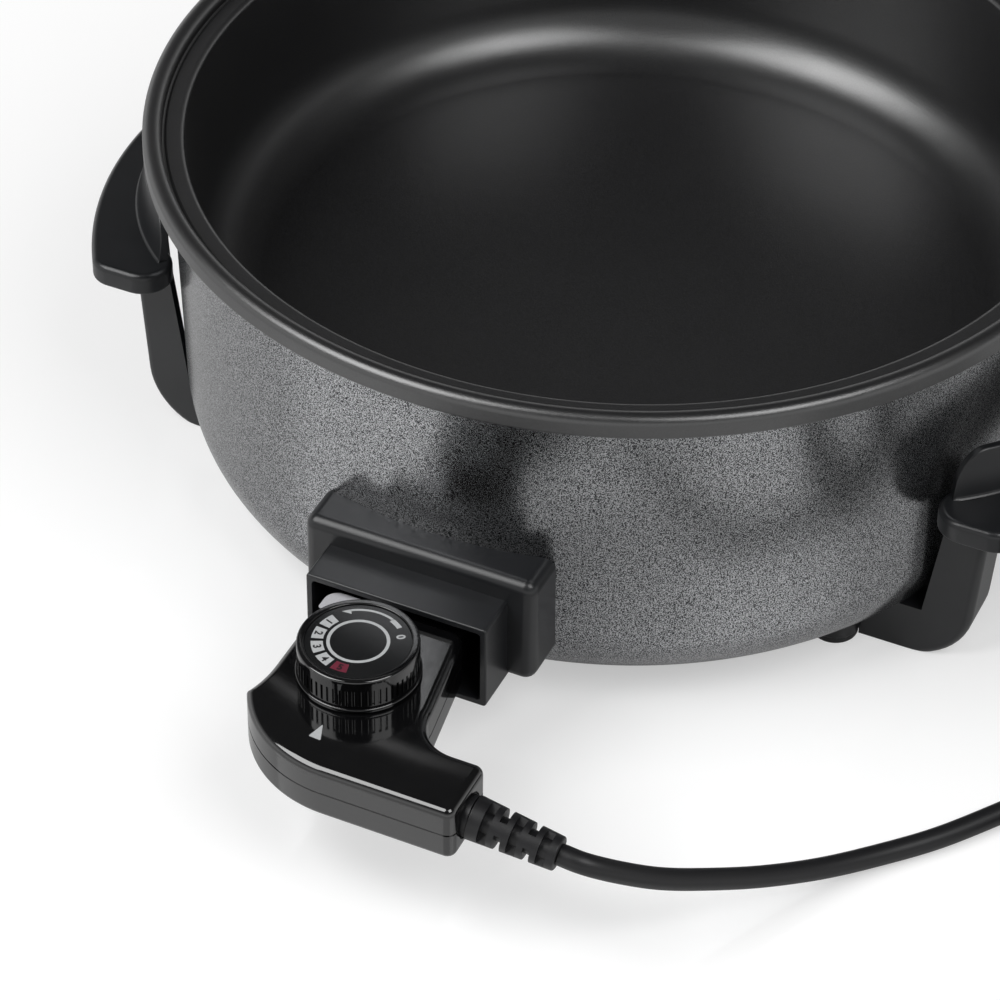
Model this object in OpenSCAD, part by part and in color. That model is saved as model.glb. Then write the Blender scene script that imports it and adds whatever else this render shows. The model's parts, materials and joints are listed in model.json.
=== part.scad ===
// Electric skillet: round pan in a sheet-metal housing, two moulded handles that are also its legs,
// and a plug-in thermostat controller with a dial and a mains cord.
// Units are millimetres. The origin is the pan's axis at table height, +Z is up,
// the controller plugs in towards -Y, and the handles are at +X and -X.

/* [Pan] */
// Outer radius of the rolled rim
rim_r = 162; // [160:0.5:163]
// Height of the cooking surface above the table
floor_z = 65; // [64:0.5:70]
// Radius of the flat part of the cooking surface
floor_r = 124.5; // [122:0.5:126]
// Inside radius of the corner between floor and wall
corner_r = 22; // [18:0.5:24]
// Wall thickness of the pan
pan_wall = 2.5; // [2:0.1:3]
// Height of the ledge that a lid rests on
ledge_z = 131; // [128:0.5:136]

/* [Housing] */
// Radius of the housing at the top of its foot curve
housing_r = 151; // [150.5:0.1:151.5]
// Sheet thickness
sheet = 1.2; // [1:0.1:1.5]
// Outside radius of the foot curve
foot_curve_r = 32; // [31:0.5:33]
// Height of the housing's bottom edge
housing_z = 6.5; // [6:0.1:7]

/* [Handles] */
// Underside of the grip plate
grip_z = 63.3; // [62:0.1:66]
// Thickness of the grip plate
grip_t = 8; // [7.8:0.1:9]
// Half the width of the grip plate
grip_half = 79; // [78:0.5:84]
// Height of the finger guard above the grip plate
guard_h = 16.2; // [14:0.1:20]
// Thickness of a leg
leg_t = 8; // [6:0.5:8]
// Outer face of a leg, measured from the middle of the handle
leg_y = 65; // [64:0.5:66]
// Distance of the feet from the pan's axis, sideways
foot_x = 107.5; // [106:0.5:109]
// Distance of the feet from the pan's axis, front to back
foot_y = 66; // [65:0.5:67]

/* [Controller] */
// Height of the parting line, which is also the height of the probe and pins
parting_z = 44.6; // [44:0.1:45]
// Top of the upper shell
shell_top = 55; // [54.8:0.1:56]
// Bottom of the lower shell
shell_bottom = 35.4; // [34.8:0.1:35.8]
// Rounding of the shell's upper edges
edge_r = 3; // [1:0.1:3.1]
// Wall thickness of the shells
shell_wall = 2; // [1.6:0.1:2.1]
// Distance of the dial's axis in front of the pan's axis
dial_y = 206.1; // [205:0.1:208]
// Distance of the dial's axis to the right of the pan's axis
dial_x = 1.2; // [-1:0.1:3]

/* [Dial] */
// Radius of the knob's wall
knob_r = 19.1; // [17.5:0.1:20]
// Number of grip slots cut into the wall
knob_slots = 58; // [24:2:72]
// Height of the knob
knob_h = 12.4; // [11.5:0.1:14]

/* [Cord] */
// Diameter of the cord
cord_d = 7; // [6.4:0.1:7]
// Middle of the coil, sideways
coil_x = 251; // [250:1:270]
// Middle of the coil, front to back
coil_y = -117; // [-118:1:-116]
// Radius of the coil at the middle of its turns
coil_r = 38.5; // [36:0.5:40]

/* [Hidden] */
$fn = 96;

// Pan profile
wall_foot_r = floor_r + corner_r;
lip_r = 148.1;
lip_round = 2;
bead_r = 3.2;
bead_z = ledge_z + 1;
pan_under = floor_z - pan_wall;
housing_top = ledge_z - 1.4;

// Housing profile
housing_top_r = housing_r + 2.5;
curve_c = [housing_r - foot_curve_r, housing_z + foot_curve_r];
flange_r = 108;

// Heater
plate_r = 118;
plate_t = 3;
plate_under = pan_under - plate_t;
element_r = 3.3;
element_ring = 78;
element_gap = 28;
element_z = plate_under - element_r;
pin_x = 14;
pin_r = 2;
probe_r = 3;
stud_ring = 45;
stud_r = 4.5;

// Inlet shroud
tube_w = 63;
tube_z = [28, 60.2];
tube_wall = 2.5;
tube_y = [-178.2, -133];
socket_w = tube_w - 2 * tube_wall;
socket_z = [tube_z[0] + tube_wall, tube_z[1] - tube_wall];
flange_w = 81;
flange_z = [28, 68.5];
flange_y = -162.5;
flange_round = 4;
shroud_screw_angle = 13.6;
shroud_screw_z = 64.2;

// Handles
grip_c = 52;
grip_out_r = 137;
guard_c = 93;
guard_in_r = 82;
guard_step = 0.4;
guard_t = 3;
guard_lean = 3.5;
guard_half = 70;
guard_corner = 14;
grip_in_x = 143.5;
grip_top_round = 2.2;
grip_low_round = 1;
pad_t = 2.5;
pad_r = 8;
boss_r = 8.4;

// Controller
nose_w = 44;
nose_z = [37.5, 52];
nose_y = -150;
back_y = -176;
front_y = -250;
end_x = 54.3;
arm_y = -226.2;
shell_hub = [8, arm_y - 8];
post_places = [[-17, -186], [17, -186], [30, -233.5]];
bush_r = 5;
nut_top = shell_top + 2.5;
relief_at = [end_x, -238.5, parting_z];
relief_end = [84, -238, 40.6];
relief_hole_r = 6.7;

// Dial
knob_z = shell_top + 0.5;
knob_top = knob_z + knob_h;
face_z = knob_top - 1;
face_r = 16.6;
spindle_r = 3;
spindle_top = knob_top - 3.4;

// Cord: the route of the stretch that isn't coiled, then the tail from the coil to the plug
cord_r = cord_d / 2;
layer_z = 3.6;
lead_route = [
    relief_end, [92, -237, 39], [101, -231, 33.8], [110.5, -222.5, 27.6], [120.5, -211.5, 21.5],
    [133, -196, 13.8], [146.5, -179, 7.6], [160, -162.5, 4.4], [174, -146.5, layer_z],
    [188, -127.5, layer_z], [201, -108.5, layer_z], [213.5, -91.3, layer_z]
];
coil_in = coil_r - 1.5 * cord_d;
coil_out = coil_r + 1.5 * cord_d;
tail_angle = 125;
tail_dir = [sin(tail_angle), -cos(tail_angle), 0];
tail_start = [coil_x, coil_y, layer_z + cord_d] + (coil_r + cord_d) * [cos(tail_angle), sin(tail_angle), 0];
plug_r = 18.5;
plug_l = 42;
plug_z = plug_r + 0.1;
plug_back = [tail_start[0], tail_start[1], plug_z] + 34 * tail_dir;
plug_pin_r = 2.4;
plug_pin_x = 9.5;
plug_pin_l = 19;
tail_route = [
    tail_start,
    tail_start + 8 * tail_dir + [0, 0, 0.6],
    tail_start + 17 * tail_dir + [0, 0, 3.6],
    tail_start + 26 * tail_dir + [0, 0, 7],
    plug_back
];

function arc(c, r, a0, a1, n) =
    [for (i = [0:n]) let (a = a0 + (a1 - a0) * i / n) [c[0] + r * cos(a), c[1] + r * sin(a)]];

function rounded_rect(x0, x1, y0, y1, r) = concat(
    arc([x1 - r, y0 + r], r, -90, 0, 6),
    arc([x1 - r, y1 - r], r, 0, 90, 6),
    arc([x0 + r, y1 - r], r, 90, 180, 6),
    arc([x0 + r, y0 + r], r, 180, 270, 6)
);

function unit(v) = v / norm(v);

function heading(path, i) = unit(path[min(i + 1, len(path) - 1)] - path[max(i - 1, 0)]);

// Closed solid through rings of points that all have the same count. Its two ends are fans from the hubs,
// so a hub sees every point of its ring.
module skin(rings, hubs) {
    n = len(rings[0]);
    last = len(rings) - 1;
    hub = n * (last + 1);
    polyhedron(
        points = concat([for (ring = rings) for (p = ring) p], hubs),
        faces = concat(
            [for (k = [0:n - 1]) [hub, k, (k + 1) % n]],
            [for (i = [0:last - 1]) for (k = [0:n - 1])
                [i * n + k, (i + 1) * n + k, (i + 1) * n + (k + 1) % n, i * n + (k + 1) % n]],
            [for (k = [0:n - 1]) [hub + 1, last * n + (k + 1) % n, last * n + k]]
        )
    );
}

// Round tube along a route
module sweep(route, r, sides) {
    skin([for (i = [0:len(route) - 1])
        let (t = heading(route, i), side = unit(cross(t, [0, 0, 1])), up = cross(side, t))
        [for (k = [0:sides - 1]) route[i] + r * (cos(360 * k / sides) * side + sin(360 * k / sides) * up)]
    ], [route[0], route[len(route) - 1]]);
}

module along_y(y0, y1) {
    translate([0, y1, 0]) rotate([90, 0, 0]) linear_extrude(height = y1 - y0) children();
}

module along_x(x0, x1) {
    translate([x0, 0, 0]) rotate([90, 0, 90]) linear_extrude(height = x1 - x0) children();
}

module rod_y(x, z, r, y0, y1) {
    translate([x, y0, z]) rotate([-90, 0, 0]) cylinder(r = r, h = y1 - y0);
}

module box(x0, x1, y0, y1, z0, z1) {
    translate([x0, y0, z0]) cube([x1 - x0, y1 - y0, z1 - z0]);
}

// ---------------------------------------------------------------- pan unit

module pan() {
    color("#1d1d1e")
    rotate_extrude()
    polygon(concat(
        [[0, floor_z]],
        arc([floor_r, floor_z + corner_r], corner_r, -90, 0, 10),
        arc([lip_r + lip_round, ledge_z - lip_round], lip_round, 180, 90, 4),
        [[rim_r - 7.8, ledge_z], [rim_r - 7.1, ledge_z - 0.6]],
        arc([rim_r - bead_r, bead_z], bead_r, 200, 0, 14),
        [[rim_r, ledge_z - 3.5], [rim_r - 1.8, ledge_z - 3.5], [rim_r - 1.8, housing_top]],
        [[lip_r + pan_wall, housing_top]],
        arc([floor_r, floor_z + corner_r], corner_r + pan_wall, 0, -90, 10),
        [[0, pan_under]]
    ));
}

function housing_outer() = concat(
    [[housing_top_r, housing_top]],
    arc(curve_c, foot_curve_r, 0, -90, 12)
);

function housing_inner() = concat(
    [[housing_top_r - sheet, housing_top]],
    arc(curve_c, foot_curve_r - sheet, 0, -90, 12)
);

// Everything inside the housing's outer surface
module housing_solid() {
    rotate_extrude() polygon(concat([[0, housing_top]], housing_outer(), [[0, housing_z]]));
}

// The space inside the housing's sheet
module housing_space() {
    rotate_extrude() polygon(concat([[0, housing_top]], housing_inner(), [[0, housing_z + sheet]]));
}

module at_feet() {
    for (x = [-1, 1])
        for (y = [-1, 1])
            translate([x * foot_x, y * foot_y, 0]) children();
}

module at_shroud_screws() {
    for (s = [-1, 1])
        rotate([0, 0, s * shroud_screw_angle])
            translate([0, 0, shroud_screw_z])
                rotate([90, 0, 0]) children();
}

module housing() {
    color("#5d5e60")
    difference() {
        rotate_extrude()
            polygon(concat(
                housing_outer(),
                [[flange_r, housing_z], [flange_r, housing_z + sheet]],
                [for (i = [12:-1:0]) arc(curve_c, foot_curve_r - sheet, 0, -90, 12)[i]],
                [[housing_top_r - sheet, housing_top]]
            ));
        box(-tube_w / 2 - 0.1, tube_w / 2 + 0.1, -160, -120, tube_z[0] - 0.1, tube_z[1] + 0.1);
        at_feet() cylinder(r = 2.2, h = 20);
        at_shroud_screws() translate([0, 0, 140]) cylinder(r = 1.7, h = 20);
    }
}

module heat_plate() {
    color("#b9bbbd")
    translate([0, 0, plate_under]) cylinder(r = plate_r, h = plate_t);
}

// One tube: a cold end, almost a whole ring under the plate, and the other cold end
function element_route() =
    let (
        a0 = -90 + element_gap / 2,
        ring = [for (i = [0:40]) let (a = a0 + (360 - element_gap) * i / 40)
            [element_ring * cos(a), element_ring * sin(a), element_z]],
        cold = [for (y = [[-128, 0], [-119, 0], [-113, 0.1], [-104, 0.35], [-93, 0.66], [-84, 0.93]])
            [pin_x + (y[1] * 3.5), y[0], parting_z + y[1] * (element_z - parting_z)]]
    )
    concat(cold, ring, [for (i = [len(cold) - 1:-1:0]) [-cold[i][0], cold[i][1], cold[i][2]]]);

module heating_element() {
    color("#8b8d8f")
    sweep(element_route(), element_r, 12);
}

module element_clips() {
    bore_r = element_r + 0.3;
    color("#a9abad")
    difference() {
        for (a = [30, 90, 150, 210, 330])
            rotate([0, 0, a])
                translate([element_ring, 0, 0])
                    box(-9, 9, -5, 5, element_z - element_r - 1.5, plate_under);
        translate([0, 0, element_z])
            rotate_extrude() translate([element_ring, 0]) circle(r = bore_r);
        translate([0, 0, element_z])
            difference() {
                cylinder(r = element_ring + bore_r, h = 10);
                translate([0, 0, -1]) cylinder(r = element_ring - bore_r, h = 12);
            }
    }
}

module stand_offs() {
    color("#a9abad")
    for (a = [30, 150, 270])
        rotate([0, 0, a])
            translate([stud_ring, 0, housing_z])
                difference() {
                    cylinder(r = stud_r, h = plate_under - housing_z);
                    translate([0, 0, -1]) cylinder(r = 1.8, h = 13);
                }
}

module sensor_block() {
    color("#b9bbbd")
    difference() {
        box(-7.5, 7.5, -122, -88, 38, plate_under);
        rod_y(0, parting_z, probe_r + 0.3, -123, -92);
        box(-8, -3, -123, -100, 51, plate_under - 3);
        box(3, 8, -123, -100, 51, plate_under - 3);
    }
}

module terminal_block() {
    color("#d9d4c6")
    difference() {
        box(-socket_w / 2, socket_w / 2, -141, tube_y[1], socket_z[0], socket_z[1]);
        for (s = [-1, 1]) rod_y(s * pin_x, parting_z, pin_r, -150, -120);
        rod_y(0, parting_z, probe_r + 1, -150, -120);
    }
}

module terminal_pins() {
    color("#c9c9c4")
    for (s = [-1, 1]) {
        rod_y(s * pin_x, parting_z, pin_r, -165, -128);
        translate([s * pin_x, -165, parting_z])
            rotate([90, 0, 0]) cylinder(r1 = pin_r, r2 = 1.2, h = 1.2);
    }
}

module earth_strip() {
    color("#c9c9c4")
    box(-5, 5, -172, -141, socket_z[0], socket_z[0] + 0.8);
}

module base_cover() {
    cover_r = 117;
    cover_t = 1.5;
    color("#3a3a3b")
    translate([0, 0, housing_z - cover_t])
    difference() {
        rotate_extrude()
            polygon([
                [0, 0], [58, 0], [60, 1.2], [66, 1.2], [68, 0], [cover_r, 0],
                [cover_r, cover_t], [67.5, cover_t], [65.5, cover_t + 1.2], [60.5, cover_t + 1.2],
                [58.5, cover_t], [0, cover_t]
            ]);
        for (a = [30, 150, 270])
            rotate([0, 0, a]) translate([stud_ring, 0, -1]) cylinder(r = 2, h = 4);
        for (i = [0:17])
            rotate([0, 0, i * 20]) box(80, 98, -1.5, 1.5, -1, 4);
    }
}

module base_screws() {
    head_z = housing_z - 1.5;
    color("#c9c9c4")
    for (a = [30, 150, 270])
        rotate([0, 0, a]) translate([stud_ring, 0, 0])
            difference() {
                union() {
                    translate([0, 0, head_z]) cylinder(r = 1.8, h = 10);
                    translate([0, 0, head_z - 2]) cylinder(r1 = 3.6, r2 = 4.2, h = 2);
                }
                box(-2.6, 2.6, -0.5, 0.5, head_z - 3, head_z - 1);
                box(-0.5, 0.5, -2.6, 2.6, head_z - 3, head_z - 1);
            }
}

// ---------------------------------------------------------------- inlet

// Block with rounded corners seen from the front and a rounded front edge
module moulded_block(w, z, y, round_r) {
    intersection() {
        along_y(y[0], y[1]) polygon(rounded_rect(-w / 2, w / 2, z[0], z[1], round_r));
        along_x(-w, w)
            polygon(concat(
                arc([y[0] + round_r, z[1] - round_r], round_r, 180, 90, 6),
                [[y[1], z[1]], [y[1], z[0]]],
                arc([y[0] + round_r, z[0] + round_r], round_r, 270, 180, 6)
            ));
        linear_extrude(height = 2 * z[1])
            polygon(concat(
                arc([-w / 2 + round_r, y[0] + round_r], round_r, 180, 270, 6),
                arc([w / 2 - round_r, y[0] + round_r], round_r, 270, 360, 6),
                [[w / 2, y[1]], [-w / 2, y[1]]]
            ));
    }
}

module inlet_shroud() {
    color("#222223")
    difference() {
        union() {
            difference() {
                moulded_block(flange_w, flange_z, [flange_y, -140], flange_round);
                housing_solid();
            }
            moulded_block(tube_w, tube_z, tube_y, 1);
        }
        box(-socket_w / 2, socket_w / 2, tube_y[0] - 2, tube_y[1] + 2, socket_z[0], socket_z[1]);
        at_shroud_screws() translate([0, 0, 148]) cylinder(r = 1.5, h = 10);
    }
}

module shroud_screws() {
    head_r = housing_r - sheet + 0.5;
    color("#c9c9c4")
    at_shroud_screws() {
        translate([0, 0, head_r - 2]) cylinder(r = 3, h = 2);
        translate([0, 0, head_r]) cylinder(r = 1.5, h = 158 - head_r);
    }
}

// ---------------------------------------------------------------- handles

function grip_outline() =
    let (
        outer_round = 9,
        inner_round = 6,
        side_y = grip_half - outer_round,
        side_x = grip_c + sqrt(pow(grip_out_r - outer_round, 2) - side_y * side_y),
        turn = atan2(side_y, side_x - grip_c),
        notch = asin((leg_y - leg_t - 1) / guard_in_r)
    )
    concat(
        arc([grip_c, 0], grip_out_r, -turn, turn, 32),
        [for (p = arc([side_x, side_y], outer_round, turn, 90, 7)) if (p[1] > side_y + 4.95) p],
        arc([grip_in_x + inner_round, grip_half - inner_round], inner_round, 90, 180, 6),
        [[grip_in_x, leg_y - leg_t - 1]],
        arc([guard_c, 0], guard_in_r, notch, -notch, 28),
        [[grip_in_x, -leg_y + leg_t + 1]],
        arc([grip_in_x + inner_round, -grip_half + inner_round], inner_round, 180, 270, 6),
        [for (p = arc([side_x, -side_y], outer_round, -90, -turn, 7)) if (p[1] < -side_y - 4.95) p]
    );

module grip_plate() {
    top = grip_z + grip_t;
    intersection() {
        translate([0, 0, grip_z]) linear_extrude(height = grip_t) polygon(grip_outline());
        translate([grip_c, 0, 0])
            rotate_extrude()
                polygon(concat(
                    [[0, grip_z]],
                    arc([grip_out_r - grip_low_round, grip_z + grip_low_round], grip_low_round, -90, 0, 3),
                    arc([grip_out_r - grip_top_round, top - grip_top_round], grip_top_round, 0, 90, 6),
                    [[0, top]]
                ));
        along_x(100, 220)
            polygon(concat(
                arc([grip_half - grip_low_round, grip_z + grip_low_round], grip_low_round, -90, 0, 3),
                arc([grip_half - grip_top_round, top - grip_top_round], grip_top_round, 0, 90, 6),
                arc([-grip_half + grip_top_round, top - grip_top_round], grip_top_round, 90, 180, 6),
                arc([-grip_half + grip_low_round, grip_z + grip_low_round], grip_low_round, 180, 270, 3)
            ));
    }
}

module finger_guard() {
    foot = grip_z + grip_t;
    top = foot + guard_h;
    in_r = guard_in_r + guard_step;
    intersection() {
        translate([guard_c, 0, 0])
            rotate_extrude()
                polygon([
                    [in_r, foot - 1], [in_r + guard_t, foot - 1], [in_r + guard_t, foot],
                    [in_r + guard_t - guard_lean, top - 0.8],
                    [in_r + guard_t - guard_lean - 0.8, top],
                    [in_r - guard_lean + 0.8, top],
                    [in_r - guard_lean, top - 0.8],
                    [in_r, foot]
                ]);
        along_x(grip_in_x + 0.5, 220)
            polygon(concat(
                [[-guard_half, foot - 1], [guard_half, foot - 1]],
                arc([guard_half - guard_corner, top - guard_corner], guard_corner, 0, 90, 8),
                arc([-guard_half + guard_corner, top - guard_corner], guard_corner, 90, 180, 8)
            ));
    }
}

module leg() {
    heel_r = 21;
    heel_x = 155 - heel_r;
    bottom = 0.4;
    sole_x = 121;
    translate([0, leg_y, 0])
    rotate([90, 0, 0])
    linear_extrude(height = leg_t)
        polygon(concat(
            [[144, grip_z + 1], [138.5, 30], [137.5, 18.6], [foot_x, 18.6], [foot_x, pad_t]],
            [[sole_x - 3, pad_t], [sole_x, bottom]],
            arc([heel_x, bottom + heel_r], heel_r, -90, 0, 10),
            [[157.5, grip_z + 1]]
        ));
}

module handle() {
    difference() {
        union() {
            grip_plate();
            finger_guard();
            for (s = [0, 1])
                mirror([0, s, 0]) {
                    leg();
                    translate([foot_x, foot_y, pad_t]) cylinder(r = boss_r, h = 16);
                }
        }
        housing_solid();
        for (s = [-1, 1])
            translate([foot_x, s * foot_y, 0]) {
                cylinder(r = 2.2, h = 20);
                cylinder(r = 4, h = pad_t + 2);
            }
    }
}

module handle_left() {
    color("#202021")
    mirror([1, 0, 0]) handle();
}

module handle_right() {
    color("#202021")
    handle();
}

module handle_screws() {
    color("#c9c9c4")
    at_feet() {
        translate([0, 0, pad_t]) cylinder(r = 3.8, h = 2);
        translate([0, 0, pad_t + 2]) cylinder(r = 2, h = 10.5);
    }
}

module handle_nuts() {
    seat_z = housing_z + 4;
    color("#c9c9c4")
    at_feet()
        difference() {
            translate([0, 0, seat_z]) cylinder(r = 4, h = 3, $fn = 6);
            cylinder(r = 2, h = 30);
        }
    color("#c9c9c4")
    difference() {
        intersection() {
            at_feet() cylinder(r = 5, h = seat_z);
            housing_space();
        }
        at_feet() cylinder(r = 2, h = 30);
    }
}

module feet() {
    color("#151515")
    at_feet()
        rotate_extrude()
            polygon([[0, 0], [pad_r - 0.7, 0], [pad_r, 0.7], [pad_r, pad_t], [0, pad_t]]);
}

// ---------------------------------------------------------------- controller

// Plan outline of the shells, drawn inwards by d. The left side flares where two arcs cross.
function shell_outline(d) =
    let (
        flare_c = [-64, -214],
        flare_r = 40 + d,
        belly_c = [10, front_y + 41],
        belly_r = 41 - d,
        apart = norm(belly_c - flare_c),
        aim = atan2(belly_c[1] - flare_c[1], belly_c[0] - flare_c[0]),
        swing = acos((flare_r * flare_r + apart * apart - belly_r * belly_r) / (2 * flare_r * apart)),
        tip = flare_c + flare_r * [cos(aim - swing), sin(aim - swing)],
        belly_a = atan2(tip[1] - belly_c[1], tip[0] - belly_c[0]),
        neck_corner = 5,
        end_corner = 3.2
    )
    concat(
        arc([-24 + neck_corner, back_y - neck_corner], neck_corner - d, 90, 180, 6),
        arc(flare_c, flare_r, 0, aim - swing, 6),
        [for (i = [1:14]) let (a = belly_a + (-90 - belly_a) * i / 14) belly_c + belly_r * [cos(a), sin(a)]],
        arc([end_x - end_corner, front_y + end_corner], end_corner - d, -90, 0, 4),
        arc([end_x - end_corner, arm_y - end_corner], end_corner - d, 0, 90, 4),
        arc([43, arm_y + 14], 14 + d, -90, -180, 8),
        arc([24 - neck_corner, back_y - neck_corner], neck_corner - d, 0, 90, 6)
    );

// Solid of the outline through rings of [inset, height]
module shell_solid(rings) {
    skin(
        [for (ring = rings) [for (p = shell_outline(ring[0])) [p[0], p[1], ring[1]]]],
        [for (ring = [rings[0], rings[len(rings) - 1]]) [shell_hub[0], shell_hub[1], ring[1]]]
    );
}

module shell_cavity(z0, z1) {
    translate([0, 0, z0]) linear_extrude(height = z1 - z0) polygon(shell_outline(shell_wall));
}

module nose(z0, z1) {
    box(-nose_w / 2, nose_w / 2, back_y - 1, nose_y, z0, z1);
}

module nose_channel() {
    box(-nose_w / 2 + 2, nose_w / 2 - 2, back_y - 5, nose_y + 1, nose_z[0] + 2, nose_z[1] - 2);
}

module at_posts() {
    for (p = post_places) translate([p[0], p[1], 0]) children();
}

module relief_hole() {
    translate([end_x - 8, relief_at[1], parting_z]) rotate([0, 90, 0]) cylinder(r = relief_hole_r, h = 12);
    translate([end_x - 1.2, relief_at[1], parting_z]) rotate([0, 90, 0]) cylinder(r = relief_hole_r + 0.8, h = 4);
}

module upper_shell() {
    color("#0e0e0f")
    difference() {
        union() {
            difference() {
                shell_solid(concat(
                    [[0.25, parting_z], [0.25, parting_z + 0.4], [0, parting_z + 0.5]],
                    [for (i = [0:5]) [edge_r * (1 - cos(18 * i)), shell_top - edge_r + edge_r * sin(18 * i)]]
                ));
                shell_cavity(parting_z - 1, shell_top - shell_wall);
            }
            nose(parting_z, nose_z[1]);
            at_posts() translate([0, 0, parting_z]) cylinder(r = 3.5, h = shell_top - shell_wall - parting_z);
        }
        nose_channel();
        at_posts() translate([0, 0, parting_z - 1]) cylinder(r = 1.4, h = 7);
        translate([dial_x, -dial_y, 40]) cylinder(r = bush_r, h = 20);
        relief_hole();
    }
}

module lower_shell() {
    chamfer = 1.6;
    color("#0e0e0f")
    difference() {
        union() {
            difference() {
                shell_solid([
                    [chamfer, shell_bottom], [0.5, shell_bottom + 0.5], [0, shell_bottom + chamfer],
                    [0, parting_z]
                ]);
                shell_cavity(shell_bottom + shell_wall, parting_z + 1);
            }
            nose(nose_z[0], parting_z);
            at_posts()
                translate([0, 0, shell_bottom + 1]) cylinder(r = 3.5, h = parting_z - shell_bottom - 1);
        }
        nose_channel();
        at_posts() {
            cylinder(r = 1.6, h = 60);
            cylinder(r = 3, h = shell_bottom + 1.8);
        }
        relief_hole();
    }
}

module contact_block() {
    color("#d9d4c6")
    difference() {
        box(-nose_w / 2 + 2, nose_w / 2 - 2, -160, nose_y - 0.5, nose_z[0] + 2, nose_z[1] - 2);
        for (s = [-1, 1]) rod_y(s * pin_x, parting_z, pin_r + 0.8, -170, -140);
        rod_y(0, parting_z, probe_r, -170, -140);
    }
}

module contact_sleeves() {
    color("#b98a3c")
    for (s = [-1, 1])
        difference() {
            rod_y(s * pin_x, parting_z, pin_r + 0.8, -172, nose_y - 0.5);
            rod_y(s * pin_x, parting_z, pin_r + 0.3, -170, -140);
            translate([s * pin_x, nose_y - 1.3, parting_z])
                rotate([-90, 0, 0]) cylinder(r1 = pin_r + 0.3, r2 = pin_r + 0.6, h = 1);
        }
}

module probe() {
    color("#c9c9c4")
    union() {
        rod_y(0, parting_z, probe_r, -172, -101);
        translate([0, -101, parting_z]) sphere(r = probe_r);
        rod_y(0, parting_z, 5, -172, -169);
    }
}

// Sprung strip under the nose, bowed down towards the earth strip
module earth_leaf() {
    t = 0.6;
    low = 31.9;
    top = nose_z[0];
    color("#c9c9c4")
    along_x(-3, 3)
        polygon([
            [-175, top], [-175, top - t], [-171, top - t], [-163, low], [-159, low], [-155, top - t - 1.5],
            [-154.4, top - t - 1], [-158.7, low + t], [-162.7, low + t], [-170.7, top]
        ]);
}

module thermostat_switch() {
    box_z = [39, 50];
    color("#d9d4c6")
    difference() {
        union() {
            box(dial_x - 15, dial_x + 15, -dial_y - 12, -dial_y + 12, box_z[0], box_z[1]);
            for (s = [-1, 1]) box(s * 10 - 3, s * 10 + 3, -dial_y + 12, -dial_y + 15, 42, 47);
            translate([dial_x, -dial_y, box_z[1]]) cylinder(r = 7, h = shell_top - shell_wall - box_z[1]);
            translate([dial_x, -dial_y, box_z[1]]) cylinder(r = bush_r, h = nut_top - box_z[1]);
        }
        translate([dial_x, -dial_y, 42.5]) cylinder(r = spindle_r + 0.05, h = 30);
    }
}

module dial_bush_nut() {
    color("#c9c9c4")
    translate([dial_x, -dial_y, shell_top])
        difference() {
            cylinder(r = 8, h = nut_top - shell_top, $fn = 6);
            translate([0, 0, -1]) cylinder(r = bush_r, h = 6);
        }
}

module controller_screws() {
    color("#c9c9c4")
    at_posts() {
        translate([0, 0, shell_bottom + 0.4]) cylinder(r = 2.8, h = 1.4);
        translate([0, 0, shell_bottom + 1.8]) cylinder(r = 1.4, h = 12.8);
    }
}

// Tapered sleeve with a collar inside the shells and slots cut from both sides, in turn a quarter turn on
module strain_relief() {
    d = relief_end - relief_at;
    len = norm(d);
    sleeve_start = 1.3;
    first_slot = 6.1;
    slot_pitch = 4.7;
    slot = 1.7;
    rib_half = 2.2;
    core_r = 4.1;
    slot_turn = -45;
    color("#1b1b1c")
    union() {
        translate([end_x - shell_wall - 2.8, relief_at[1], parting_z])
            rotate([0, 90, 0]) cylinder(r = relief_hole_r + 0.4, h = 2.8);
        translate([end_x - shell_wall, relief_at[1], parting_z])
            rotate([0, 90, 0]) cylinder(r = relief_hole_r, h = shell_wall + 1.9);
        translate(relief_at)
            rotate([0, acos(d[2] / len), atan2(d[1], d[0])])
                difference() {
                    translate([0, 0, sleeve_start]) cylinder(r1 = 7.1, r2 = 5.5, h = len - sleeve_start);
                    for (i = [0:4])
                        translate([0, 0, first_slot + i * slot_pitch])
                            difference() {
                                cylinder(r = 10, h = slot);
                                translate([0, 0, -1]) cylinder(r = core_r, h = slot + 2);
                                rotate([0, 0, slot_turn + i % 2 * 90])
                                    for (s = [0, 180])
                                        rotate([0, 0, s]) box(0, 12, -rib_half, rib_half, -1, slot + 1);
                            }
                }
    }
}

// ---------------------------------------------------------------- dial

// Wall over a thin collar, cut by narrow grip slots that stop below the smooth upper band
module dial_knob() {
    top_round = 0.8;
    slot_w = 0.7;
    slot_deep = 0.55;
    slot_z = [knob_z + 2.4, knob_top - 4];
    color("#0e0e0f")
    translate([dial_x, -dial_y, 0])
    difference() {
        rotate_extrude()
            polygon(concat(
                [
                    [0, knob_z], [knob_r + 0.3, knob_z], [knob_r + 0.6, knob_z + 0.3],
                    [knob_r + 0.6, knob_z + 1.3], [knob_r - 0.8, knob_z + 1.5], [knob_r - 0.8, knob_z + 1.9],
                    [knob_r, knob_z + 2]
                ],
                arc([knob_r - top_round, knob_top - top_round], top_round, 0, 90, 4),
                [
                    [face_r + 0.3, knob_top], [face_r, knob_top - 0.3], [face_r, face_z], [0, face_z]
                ]
            ));
        for (i = [0:knob_slots - 1])
            rotate([0, 0, 360 * (i + 0.5) / knob_slots])
                box(knob_r - slot_deep, knob_r + 1, -slot_w / 2, slot_w / 2, slot_z[0], slot_z[1]);
        difference() {
            translate([0, 0, knob_z - 1]) cylinder(r = 15, h = face_z - 3 - knob_z);
            translate([0, 0, nut_top + 0.7]) cylinder(r = 6.5, h = 20);
        }
        spindle_shape(nut_top, spindle_top);
    }
}

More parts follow.
